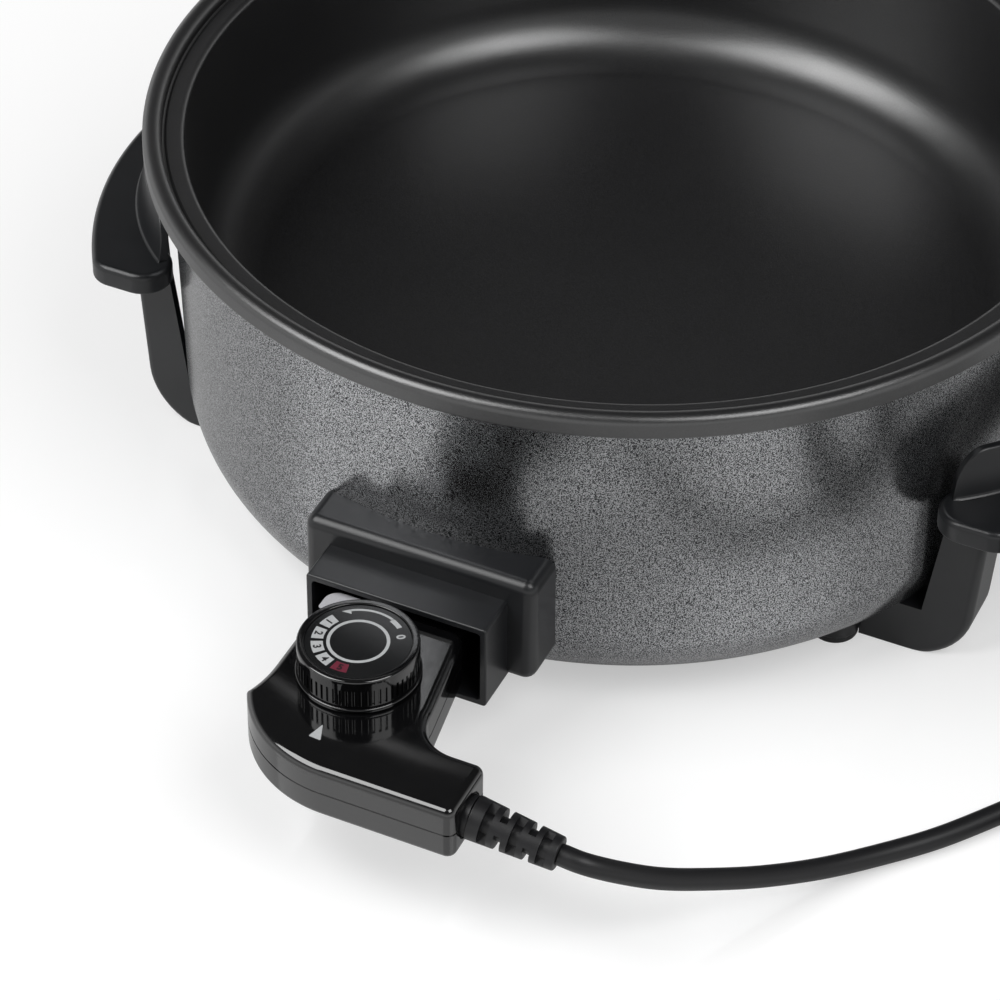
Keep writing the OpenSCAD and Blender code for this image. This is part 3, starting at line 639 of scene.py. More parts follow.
# The camera's place in metres, its turns in degrees, and its lens and sensor in millimetres.
CAMERA_PLACE = (0.40330, -0.98334, 0.86960)
CAMERA_AZIMUTH = 24.5523
CAMERA_ELEVATION = 40.4282
CAMERA_ROLL = 0.8028
CAMERA_LENS = 139.401
SENSOR_WIDTH = 36
CLIP_END = 20
# Each soft box's place, side and power in watts, and the point that all of them face.
SOFT_BOXES = {
    "front_left": ((-1.14, -1.22, 1.9), 1.65, 48),
    "right": ((1.35, -0.65, 1.95), 1.2, 23),
}
LIT_POINT = (0, 0, 0.06)
# The world's light on surfaces, and what reflections see: white low down, and a dim grey overhead. The
# heights are those of a direction, from 0 at the horizon to 1 straight up.
WORLD_LIGHT = 0.22
WHITE_BELOW = 0.08
DIM_ABOVE = 0.5
OVERHEAD = 0.06
FLOOR_HALF = 6
FLOOR_DEPTH = 0.02
FLOOR_GREY = 0.58
FLOOR_ROUGHNESS = 0.1
# What lifts the floor to white before the camera, and a little in reflections.
LIFT_SEEN = 0.46
LIFT_MIRRORED = 0.1


class SKILLET_OT_stage(bpy.types.Operator):
    """Adds the camera, the soft studio light and the pale floor"""
    bl_idname = "skillet.add_stage"
    bl_label = "Stage"

    def execute(self, context):
        context.scene.view_settings.view_transform = "Standard"
        self.add_camera(context)
        for name, (place, side, power) in SOFT_BOXES.items():
            self.add_light(context, name, place, side, power)
        self.add_world(context)
        self.add_floor()
        return {"FINISHED"}

    def add_camera(self, context):
        """Camera turned by its azimuth and elevation, and rolled a little about its own axis."""
        data = bpy.data.cameras.new("camera")
        data.lens = CAMERA_LENS
        data.sensor_width = SENSOR_WIDTH
        data.sensor_fit = "HORIZONTAL"
        data.clip_end = CLIP_END
        camera = bpy.data.objects.new("camera", data)
        turn = (
            Matrix.Rotation(math.radians(CAMERA_AZIMUTH), 4, "Z")
            @ Matrix.Rotation(math.radians(90 - CAMERA_ELEVATION), 4, "X")
            @ Matrix.Rotation(math.radians(CAMERA_ROLL), 4, "Z")
        )
        camera.matrix_world = Matrix.Translation(CAMERA_PLACE) @ turn
        context.scene.collection.objects.link(camera)
        context.scene.camera = camera

    def add_light(self, context, name, place, side, power):
        """Square soft box that faces the pan."""
        data = bpy.data.lights.new(name, "AREA")
        data.size = side
        data.energy = power
        lamp = bpy.data.objects.new(name, data)
        lamp.location = place
        lamp.rotation_euler = (Vector(place) - Vector(LIT_POINT)).to_track_quat("Z", "Y").to_euler()
        context.scene.collection.objects.link(lamp)

    def add_world(self, context):
        """Even grey light. The camera sees white all round, and reflections see white that dims overhead."""
        world = bpy.data.worlds.new("studio")
        context.scene.world = world
        world.use_nodes = True
        tree = world.node_tree
        tree.nodes.clear()
        path = node(tree, "ShaderNodeLightPath")
        mirrored = node(tree, "ShaderNodeMath", {
            0: path.outputs["Is Glossy Ray"], 1: path.outputs["Is Transmission Ray"]
        }, operation="MAXIMUM")
        place = node(tree, "ShaderNodeTexCoord")
        height = node(tree, "ShaderNodeSeparateXYZ", {"Vector": place.outputs["Generated"]})
        sky = node(tree, "ShaderNodeMapRange", {
            "Value": height.outputs["Z"], "From Min": WHITE_BELOW, "From Max": DIM_ABOVE, "To Min": 1.0,
            "To Max": OVERHEAD
        })
        light = node(tree, "ShaderNodeMix", {
            "Factor": mirrored.outputs["Value"], "A": WORLD_LIGHT, "B": sky.outputs["Result"]
        }, data_type="FLOAT")
        strength = node(tree, "ShaderNodeMix", {
            "Factor": path.outputs["Is Camera Ray"], "A": light.outputs["Result"], "B": 1.0
        }, data_type="FLOAT")
        shown = node(tree, "ShaderNodeBackground", {
            "Color": grey(1.0), "Strength": strength.outputs["Result"]
        })
        node(tree, "ShaderNodeOutputWorld", {"Surface": shown.outputs["Background"]})

    def add_floor(self):
        """Pale floor with a slight gloss, lifted to white where no shadow falls."""
        sides = (-FLOOR_HALF, FLOOR_HALF)
        floor = solid("floor", block(sides, sides, (-FLOOR_DEPTH, 0)))
        made, tree, shader = new_material("pale_floor", {
            "Base Color": grey(FLOOR_GREY), "Roughness": FLOOR_ROUGHNESS
        })
        path = node(tree, "ShaderNodeLightPath")
        mirrored = node(tree, "ShaderNodeMath", {
            0: path.outputs["Is Glossy Ray"], 1: LIFT_MIRRORED
        }, operation="MULTIPLY")
        lift = node(tree, "ShaderNodeMath", {
            0: path.outputs["Is Camera Ray"], 1: LIFT_SEEN, 2: mirrored.outputs["Value"]
        }, operation="MULTIPLY_ADD")
        glow = node(tree, "ShaderNodeEmission", {"Color": grey(1.0), "Strength": lift.outputs["Value"]})
        total = node(tree, "ShaderNodeAddShader", {0: shader.outputs["BSDF"], 1: glow.outputs["Emission"]})
        tree.links.new(total.outputs["Shader"], tree.nodes["Material Output"].inputs["Surface"])
        floor.data.materials.append(made)


# ---------------------------------------------------------------- operators: cord

# The lead's middle line from the strain relief to the coil, in millimetres.
LEAD_ROUTE = [
    (84, -238, 40.6), (92, -237, 39), (101, -231, 33.8), (110.5, -222.5, 27.6), (120.5, -211.5, 21.5),
    (133, -196, 13.8), (146.5, -179, 7.6), (160, -162.5, 4.4), (174, -146.5, 3.6),
    (188, -127.5, 3.6), (201, -108.5, 3.6), (213.5, -91.3, 3.6),
]
# Angles in degrees at which the lead meets the coil and the tail leaves it.
COIL_ENTRY = 145.6
TAIL_ANGLE = 125.0
# Turns on the table, the part of a turn that climbs, and the turns on top that end at the tail's angle.
INWARD_TURNS = 2
RISE_TURN = 0.25
OUTWARD_TURNS = 1 + (COIL_ENTRY - 360 * RISE_TURN - TAIL_ANGLE) % 360 / 360
TURN_PITCH = 7.1 * MM
COIL_POINTS = 260
# The tail's run along its heading and its rise over the top layer, in millimetres.
TAIL_RUN = [(8, 0.6), (17, 3.6), (26, 7.0), (34, 8.0)]


def smooth_route(points, per_span):
    """Catmull-Rom curve through points: each span is a cubic whose end slopes are half the gap between the
    points on either side."""
    p = np.vstack([2 * points[0] - points[1], points, 2 * points[-1] - points[-2]])
    t = np.linspace(0, 1, per_span, endpoint=False)[None, :, None]
    a, b, c, d = p[:-3, None], p[1:-2, None], p[2:-1, None], p[3:, None]
    curve = 0.5 * (2 * b + (c - a) * t + (2 * a - 5 * b + 4 * c - d) * t**2 + (3 * b - a - 3 * c + d) * t**3)
    return np.vstack([curve.reshape(-1, 3), points[-1:]])


def coil_path(sizes):
    """Clockwise spiral: inwards on the table, a quarter turn that rises one diameter, then outwards on top.
    The radius and the height are given at each angle turned."""
    start = sizes.coil_radius + sizes.diameter
    inner = start - INWARD_TURNS * TURN_PITCH
    risen = INWARD_TURNS + RISE_TURN
    turns = np.linspace(0, risen + OUTWARD_TURNS, COIL_POINTS)
    radius = np.interp(turns, [0, INWARD_TURNS, risen, turns[-1]], [start, inner, inner, start])
    rise = np.clip((turns - INWARD_TURNS) / RISE_TURN, 0, 1)
    height = sizes.layer_z + sizes.diameter * rise**2 * (3 - 2 * rise)
    angle = np.radians(COIL_ENTRY) - 2 * np.pi * turns
    return np.column_stack([
        sizes.coil_x + radius * np.cos(angle), -sizes.coil_y + radius * np.sin(angle), height
    ])


def tail_frame(sizes):
    """Where the top layer leaves the coil, and its heading there."""
    angle = math.radians(TAIL_ANGLE)
    radius = sizes.coil_radius + sizes.diameter
    start = np.array([
        sizes.coil_x + radius * math.cos(angle), -sizes.coil_y + radius * math.sin(angle),
        sizes.layer_z + sizes.diameter
    ])
    return start, np.array([math.sin(angle), -math.cos(angle), 0.0])


def cord_path(sizes):
    """The whole centreline: the lead, the coil and the tail, made even and smooth by giving each point half
    its own place and a quarter of each neighbour's."""
    start, heading = tail_frame(sizes)
    tail = np.array([start + run * MM * heading + (0, 0, rise * MM) for run, rise in TAIL_RUN])
    lead = smooth_route(np.array(LEAD_ROUTE) * MM, 10)
    tail = smooth_route(np.vstack([start, tail]), 8)
    path = np.vstack([lead, coil_path(sizes)[1:-1], tail])
    return np.vstack([path[:1], (path[:-2] + 2 * path[1:-1] + path[2:]) / 4, path[-1:]])


def tube(path, radius, sides=20):
    """Circles of that radius across the path: path + radius * (cos k * side + sin k * up), both at right
    angles to the way it runs."""
    along = unit(np.gradient(path, axis=0))
    side = unit(np.cross(along, (0, 0, 1)))
    up = np.cross(side, along)
    angle = np.linspace(0, 2 * np.pi, sides, endpoint=False)[None, :, None]
    return loft(path[:, None] + radius * (np.cos(angle) * side[:, None] + np.sin(angle) * up[:, None]))


class SKILLET_OT_cord(bpy.types.Operator):
    """Adds the mains cord, its tie and its plug"""
    bl_idname = "skillet.add_cord"
    bl_label = "Mains cord"

    def execute(self, context):
        sizes = context.scene.skillet_cord
        path = cord_path(sizes)
        cord = solid("mains_cord", tube(path, sizes.diameter / 2))
        finish_piece(cord, "cord_rubber", "controller", ["cord_lead", "cord_coil", "cord_tail"])
        tie = self.add_tie(sizes)
        plug = self.add_plug(sizes)
        return {"FINISHED"}

    def add_tie(self, sizes):
        """Flat band round the bundle: a rounded rectangle with a hole, carried along the turns."""
        half, thickness, corner, place = 4 * MM, 0.8 * MM, 3 * MM, -60
        low, high = low_of("cord_tie", "z"), high_of("cord_tie", "z")
        inner = sizes.coil_radius - 1.5 * sizes.diameter - thickness
        outer = sizes.coil_radius + 1.5 * sizes.diameter + thickness
        loop = fillet([
            (inner, low, corner), (outer, low, corner), (outer, high, corner), (inner, high, corner)
        ])
        hole = inset(loop, thickness)
        rings = np.array([
            np.column_stack([ring[:, 0], np.full(len(ring), along), ring[:, 1]])
            for ring, along in ((loop, -half), (loop, half), (hole, half), (hole, -half))
        ])
        points = turned(rings, place) + (sizes.coil_x, -sizes.coil_y, 0)
        band = solid("coil_tie", (points.reshape(-1, 3), quads(4, len(loop), True, True).tolist()))
        return finish_piece(band, "tie_plastic", "controller", ["cord_tie"])

    def add_plug(self, sizes):
        """Round plug: a profile turned about the line that the cord comes in on, with grip flutes on two
        sides of its barrel. A flute lowers the radius by a cosine of the angle, where that is positive."""
        start, heading = tail_frame(sizes)
        low, high = low_of("plug_body", "z"), high_of("plug_body", "z")
        radius, shoulder, front, edge = (high - low) / 2, 27 * MM, 42 * MM, 1.2 * MM
        flutes, deep, sides = 24, 0.7 * MM, 144
        back = np.array([start[0], start[1], (low + high) / 2]) + TAIL_RUN[-1][0] * MM * heading
        profile = fillet([
            (0, 0, 0), (4.6 * MM, 0, 0.6 * MM), (5.6 * MM, 14 * MM, 8 * MM), (8.6 * MM, 20 * MM, 5 * MM),
            (radius, shoulder, 3 * MM), (radius, front, edge), (0, front, 0)
        ], 6)
        along = profile[:, 1]
        angle = np.linspace(0, 2 * np.pi, sides, endpoint=False)[:, None]
        barrel = np.clip((along - shoulder) / (2 * MM), 0, 1) * np.clip((front - 2 * MM - along) / MM, 0, 1)
        on_sides = np.clip(np.abs(np.sin(angle)) * 3 - 1.6, 0, 1)
        flute = deep * np.clip(np.cos(angle * flutes) * 2, 0, 1) * on_sides
        reach = (profile[:, 0] - flute * barrel)[..., None]
        side, up = np.cross(heading, (0, 0, 1)), np.array([0, 0, 1.0])
        across = np.cos(angle)[..., None] * side + np.sin(angle)[..., None] * up
        points = back + heading * along[None, :, None] + reach * across
        faces = quads(sides, len(profile), True, False).tolist()
        plug = solid("plug_moulding", (points.reshape(-1, 3), faces))
        return finish_piece(plug, "plug_plastic", "controller", ["plug_body"])


# ---------------------------------------------------------------- operators: pan unit

# The lid's ledge under the top of the rim, and the rim's width, its rounding and how far it hangs over.
LEDGE_DEPTH = 4.2 * MM
RIM_WIDTH = 6.4 * MM
RIM_ROUND = 3.1 * MM
RIM_SKIRT = 3.5 * MM
# Inner radius of the housing's bottom flange.
BASE_FLANGE = 108 * MM
# The window in the housing through which the inlet reaches.
WINDOW_HALF = 31.6 * MM
WINDOW_Y = (-170 * MM, -120 * MM)
WINDOW_Z = (27.9 * MM, 60.3 * MM)
SHEET_SEGMENTS = 288


class SKILLET_OT_pan(bpy.types.Operator):
    """Adds the deep pan with its lid ledge and rolled rim"""
    bl_idname = "skillet.add_pan"
    bl_label = "Pan"

    def execute(self, context):
        s = context.scene.skillet_pan
        rim, ledge = s.rim_radius, s.rim_top - LEDGE_DEPTH
        bead, skirt = rim - RIM_WIDTH, ledge - RIM_SKIRT
        wall_foot = s.floor_radius + s.corner_radius
        lean = (s.lip_radius - wall_foot) / (ledge - s.floor_z - s.corner_radius)
        foot = wall_foot - lean * s.corner_radius
        inside = [(0, s.floor_z, 0), (foot, s.floor_z, s.corner_radius), (s.lip_radius, ledge, 2 * MM)]
        groove = [
            (bead - 1.6 * MM, ledge, 0.4 * MM), (bead - 0.8 * MM, ledge - 0.9 * MM, 0.4 * MM),
            (bead, ledge - 0.4 * MM, 0.3 * MM)
        ]
        rolled = [
            (bead, s.rim_top, RIM_ROUND), (rim, s.rim_top, RIM_ROUND), (rim, skirt, 0.7 * MM),
            (rim - 1.6 * MM, skirt, 0.6 * MM), (rim - 1.8 * MM, s.housing_top, 0.5 * MM)
        ]
        outside = [
            (s.lip_radius + s.wall, s.housing_top, 0.5 * MM),
            (foot + s.wall, s.floor_z - s.wall, s.corner_radius + s.wall), (0, s.floor_z - s.wall, 0)
        ]
        pan = solid("deep_pan", revolve(fillet(inside + groove + rolled + outside, 12), SHEET_SEGMENTS))
        finish_piece(pan, "nonstick_black", "pan_unit", ["pan"])
        return {"FINISHED"}


class SKILLET_OT_housing(bpy.types.Operator):
    """Adds the sheet housing with its inlet window"""
    bl_idname = "skillet.add_housing"
    bl_label = "Housing"

    def execute(self, context):
        s = context.scene.skillet_pan
        outer, inner = housing_corners(s, 0.0), housing_corners(s, s.sheet)
        flange = [(BASE_FLANGE, s.housing_bottom, 0), (BASE_FLANGE, s.housing_bottom + s.sheet, 0)]
        profile = fillet(outer + flange + inner[::-1], 24)
        housing = solid("hammered_housing", revolve(profile, SHEET_SEGMENTS, closed=True))
        carve(housing, "DIFFERENCE", block((-WINDOW_HALF, WINDOW_HALF), WINDOW_Y, WINDOW_Z))
        finish_piece(housing, "hammered_grey", "pan_unit", ["housing"])
        return {"FINISHED"}


class SKILLET_OT_shroud(bpy.types.Operator):
    """Adds the moulded shroud round the inlet's pins"""
    bl_idname = "skillet.add_shroud"
    bl_label = "Inlet shroud"

    def execute(self, context):
        s = context.scene.skillet_controller
        half = high_of("inlet_shroud", "x")
        low, high = low_of("inlet_shroud", "z"), high_of("inlet_shroud", "z")
        tube_half, tube_top, wall, lead_in = 31.5 * MM, 60.2 * MM, 2.5 * MM, 0.5 * MM
        flange_root, tube_root, throat_root = -140 * MM, -133 * MM, -131 * MM
        flange_outline = rounded(rectangle(half, low, high, 4.3 * MM), 8)
        flange = slab(flange_outline, -s.flange_front, flange_root, low_edge=4 * MM, steps=8)
        tube_outline = rounded(rectangle(tube_half, low, tube_top, 1.2 * MM), 6)
        sleeve = slab(tube_outline, -s.tube_front, tube_root, low_edge=0.7 * MM, steps=4)
        throat = rounded(rectangle(tube_half - wall, low + wall, tube_top - wall, 1 * MM), 5)
        mouth = [
            (-s.tube_front - 1 * MM, -lead_in), (-s.tube_front, -lead_in), (-s.tube_front + 0.6 * MM, 0.0),
            (throat_root, 0.0)
        ]
        shroud = solid("inlet_shroud_moulding", lay_along_y(flange))
        carve(shroud, "DIFFERENCE", housing_filled(context.scene.skillet_pan))
        carve(shroud, "UNION", lay_along_y(sleeve))
        carve(shroud, "DIFFERENCE", loft([np.insert(throat(depth), 1, y, axis=1) for y, depth in mouth]))
        finish_piece(shroud, "satin_black_plastic", "pan_unit", ["inlet_shroud"], sharp=40)
        return {"FINISHED"}


# The handles' plan: middles, sideways, of the grip's outer arc and of its inner arc, the inner arc's radius,
# and how near to the pan's axis the ends of the grip reach. Then the bosses and the pads under them.
GRIP_CENTRE = 52 * MM
GUARD_CENTRE = 93 * MM
GUARD_INNER = 82 * MM
GRIP_INNER_X = 140 * MM
BOSS_RADIUS = 8.4 * MM
PAD_RADIUS = 8 * MM
PAD_TOP = 2.5 * MM
BASE_TOP = 26 * MM


def grip_outline(s):
    """Plan outline of the right-hand grip: an outer arc, round corners and an inner arc that ends where
    it crosses the inner corners' circles."""
    radius, corner, inner_corner = s.reach - GRIP_CENTRE, 9 * MM, 10 * MM
    side_y = s.grip_half - corner
    side_x = GRIP_CENTRE + math.sqrt((radius - corner)**2 - side_y**2)
    turn = math.degrees(math.atan2(side_y, side_x - GRIP_CENTRE))
    middle = np.array([GRIP_INNER_X + inner_corner, s.grip_half - inner_corner])
    apart = math.hypot(middle[0] - GUARD_CENTRE, middle[1])
    aim = math.atan2(middle[1], middle[0] - GUARD_CENTRE)
    notch = aim - math.acos((GUARD_INNER**2 + apart**2 - inner_corner**2) / (2 * GUARD_INNER * apart))
    cusp = np.array([GUARD_CENTRE + GUARD_INNER * math.cos(notch), GUARD_INNER * math.sin(notch)])
    last = math.degrees(math.atan2(*(cusp - middle)[::-1])) + 360
    notch = math.degrees(notch)
    return distinct(np.concatenate([
        polar((GRIP_CENTRE, 0), radius, -turn, turn, 65),
        polar((side_x, side_y), corner, turn, 90, 12)[1:],
        polar(middle, inner_corner, 90, last, 16),
        polar((GUARD_CENTRE, 0), GUARD_INNER, notch, -notch, 57)[1:-1],
        polar(middle * (1, -1), inner_corner, 360 - last, 270, 16),
        polar((side_x, -side_y), corner, -90, -turn, 12)[:-1],
    ]))


def guard_surface(s):
    """Finger guard: a leaning section carried round the grip's inner arc. Towards each end its height falls
    as rise * sqrt(1 - p * p), with p from 0 to 1 over the last stretch."""
    foot = s.grip_z + s.grip_thickness
    rise, lean, thick = s.guard_top - foot, 3.5 * MM, 3 * MM
    inner = GUARD_INNER + 0.4 * MM
    half, fall = 67.3 * MM, 7.5 * MM
    top_round, foot_round, sunk = 0.9 * MM, 1.3 * MM, 4 * MM
    end = math.asin(half / (inner + thick / 2))
    angle = np.linspace(-end, end, 141)[:, None]
    along = np.abs((inner + thick / 2) * np.sin(angle))
    past = np.clip((along - half + fall) / fall, 0, 0.9995)
    height = rise * np.sqrt(1 - past**2)
    low = np.clip(height / (3 * MM), 0, 1)
    t = np.linspace(0, np.pi / 2, 7)
    # Each row is a radius, a height over the grip, and the share of the guard's own height added to it.
    foot_curve = np.column_stack([
        inner + thick + foot_round * (1 - np.sin(t)), foot_round * (1 - np.cos(t)) - 0.15 * MM, 0 * t
    ])
    outer_top = np.column_stack([
        inner + thick - top_round * (1 - np.cos(t)), top_round * (np.sin(t) - 1), 0 * t + 1
    ])
    inner_top = np.column_stack([
        inner + top_round * (1 - np.sin(t)), top_round * (np.cos(t) - 1), 0 * t + 1
    ])
    section = np.vstack([
        [inner + thick + foot_round, -sunk, 0], foot_curve, outer_top, inner_top, [inner, -sunk, 0]
    ])
    z = section[:, 1] * low + section[:, 2] * height
    radius = section[:, 0] - lean * np.clip(z, 0, None) / rise
    return loft(np.stack(
        [GUARD_CENTRE + radius * np.cos(angle), radius * np.sin(angle), foot + z], axis=-1
    ))


def leg_block(s):
    """Leg before it is hollowed: an L in side view with a round heel, and a rounded front. It reaches lower
    than the foot by its front edge's rounding."""
    top, toe, sole, heel, edge = s.grip_z + 1 * MM, s.foot_x - 4 * MM, -2.6 * MM, 24 * MM, 3 * MM
    outline = rounded([
        (130 * MM, top, 0.3 * MM), (126 * MM, BASE_TOP, 1 * MM), (toe, BASE_TOP, 0.3 * MM),
        (toe, sole, 0.3 * MM), (152 * MM, sole, heel), (156.6 * MM, top, 0.3 * MM)
    ], 12)
    back = s.leg_outer - s.leg_depth
    return lay_along_y(slab(outline, back, s.leg_outer, low_edge=0.4 * MM, high_edge=edge, steps=7))


def leg_cutters(s):
    """Spaces beside and inside a leg: what lies inwards of its leaning inner edge and over its base, the
    hollow behind its front wall, and what lies under its sole and over its pad."""
    front, base, top = s.leg_outer + 5 * MM, 18.6 * MM, s.grip_z + 10 * MM
    wall, inside, behind = s.leg_outer - s.leg_wall, 100 * MM, 40 * MM
    edge = np.array([(inside, base), (136.5 * MM, base), (143.9 * MM, top), (inside, top)])
    hollow = np.array([(inside, base), (150.5 * MM, base), (153.7 * MM, top), (inside, top)])
    pad, below = PAD_RADIUS + 0.3 * MM, -5 * MM
    round_pad = np.array([(0, below), (pad, below), (pad, PAD_TOP), (0, PAD_TOP)])
    return [
        lay_along_y(slab(edge, behind, front)), lay_along_y(slab(hollow, behind, wall)),
        block((90 * MM, 200 * MM), (behind, front), (-20 * MM, 0.4 * MM)),
        revolve(round_pad, 48, (s.foot_x, s.foot_y)),
    ]


def skirt_surface(s):
    """Wall that hangs from the grip's inner edge between the legs: an arc carried downwards."""
    drop, thick = 18 * MM, 2.6 * MM
    end = math.degrees(math.asin((s.leg_outer - 2 * MM) / (GUARD_INNER + thick)))
    outline = np.concatenate([
        polar((GUARD_CENTRE, 0), GUARD_INNER + thick, -end, end, 61),
        polar((GUARD_CENTRE, 0), GUARD_INNER, end, -end, 61)
    ])
    return slab(outline, s.grip_z - drop, s.grip_z + 1 * MM, low_edge=0.8 * MM, steps=4)


class SKILLET_OT_handles(bpy.types.Operator):
    """Adds the two moulded handles with their guards, legs and feet"""
    bl_idname = "skillet.add_handles"
    bl_label = "Handles"

    def execute(self, context):
        for name, side in (("handle_right", 1), ("handle_left", -1)):
            self.add_handle(context, name, side)
        self.add_feet(context)
        return {"FINISHED"}

    def add_handle(self, context, name, side):
        """Grip, guard, skirt, bosses and legs joined into one moulding and cut to the housing."""
        s = context.scene.skillet_handles
        top = s.grip_z + s.grip_thickness
        plate = slab(grip_outline(s), s.grip_z, top, low_edge=1 * MM, high_edge=2.2 * MM, steps=7)
        boss_top = BASE_TOP - 2 * MM
        boss = fillet([
            (0, PAD_TOP, 0), (BOSS_RADIUS, PAD_TOP, 0.8 * MM), (BOSS_RADIUS, boss_top, 0), (0, boss_top, 0)
        ], 5)
        parts = [guard_surface(s), skirt_surface(s)]
        parts += [revolve(boss, 64, (s.foot_x, way * s.foot_y)) for way in (-1, 1)]
        grip = solid(name + "_moulding", self.mirrored(plate, side))
        carve(grip, "UNION", *[self.mirrored(part, side) for part in parts])
        for way in (-1, 1):
            leg = solid("leg", self.mirrored(leg_block(s), side, way))
            carve(leg, "DIFFERENCE", *[self.mirrored(part, side, way) for part in leg_cutters(s)])
            self.join(grip, leg)
        carve(grip, "DIFFERENCE", housing_filled(context.scene.skillet_pan))
        finish_piece(grip, "satin_black_plastic", "pan_unit", [name], sharp=38)

    def mirrored(self, surface, side, way=1):
        """The surface as drawn for +X and +Y, or its mirror image at -X, -Y or both."""
        return surface[0] * (side, way, 1), surface[1]

    def join(self, piece, other):
        """Joins another object into the piece and removes it."""
        points = np.zeros(len(other.data.vertices) * 3)
        other.data.vertices.foreach_get("co", points)
        faces = [list(face.vertices) for face in other.data.polygons]
        bpy.data.objects.remove(other)
        carve(piece, "UNION", (points.reshape(-1, 3), faces))

    def add_feet(self, context):
        """Four rubber pads with a rounded lower edge and a shallow hollow underneath."""
        s = context.scene.skillet_handles
        hollow = 0.5 * MM
        profile = fillet([
            (0, hollow, 0), (4.6 * MM, hollow, 0.3 * MM), (5.2 * MM, 0, 0.2 * MM), (PAD_RADIUS, 0, 0.9 * MM),
            (PAD_RADIUS, PAD_TOP, 0.3 * MM), (0, PAD_TOP, 0)
        ], 5)
        pads = [revolve(profile, 48, (x * s.foot_x, y * s.foot_y)) for x in (-1, 1) for y in (-1, 1)]
        finish_piece(solid("foot_pads", *pads), "foot_rubber", "pan_unit", ["feet"])


# ---------------------------------------------------------------- operators: controller

# Plan places of the screw posts that hold the two shells together.
POSTS = [(-17 * MM, -186 * MM), (17 * MM, -186 * MM), (30 * MM, -233.5 * MM)]
# The nose that enters the socket, and the edge that is left sharp where its halves meet.
NOSE_HALF = 22 * MM
NOSE_BACK = -177 * MM
NOSE_FRONT = -150 * MM
NOSE_Z = (37.5 * MM, 52 * MM)
NOSE_WALL = 2 * MM
NOSE_ROUND = 1.2 * MM
SHARP = 0.05 * MM
# Where the strain relief leaves the arm, and the radii of its neck in the wall and of its head.
RELIEF_START = np.array([54.3, -238.5, 44.6]) * MM
RELIEF_NECK = 6.7 * MM
RELIEF_HEAD = 7.1 * MM


def sleeve_hole(s):
    """Stepped hole in the arm's end: close round the strain relief's neck, and wider outside it."""
    wide, step, end = 7.5 * MM, 53.1 * MM, 58 * MM
    profile = np.array([
        (0, 46 * MM), (RELIEF_NECK, 46 * MM), (RELIEF_NECK, step), (wide, step), (wide, end), (0, end)
    ])
    points, faces = lay_along_x(revolve(profile, 64))
    return points + (0, RELIEF_START[1], s.parting_z), faces


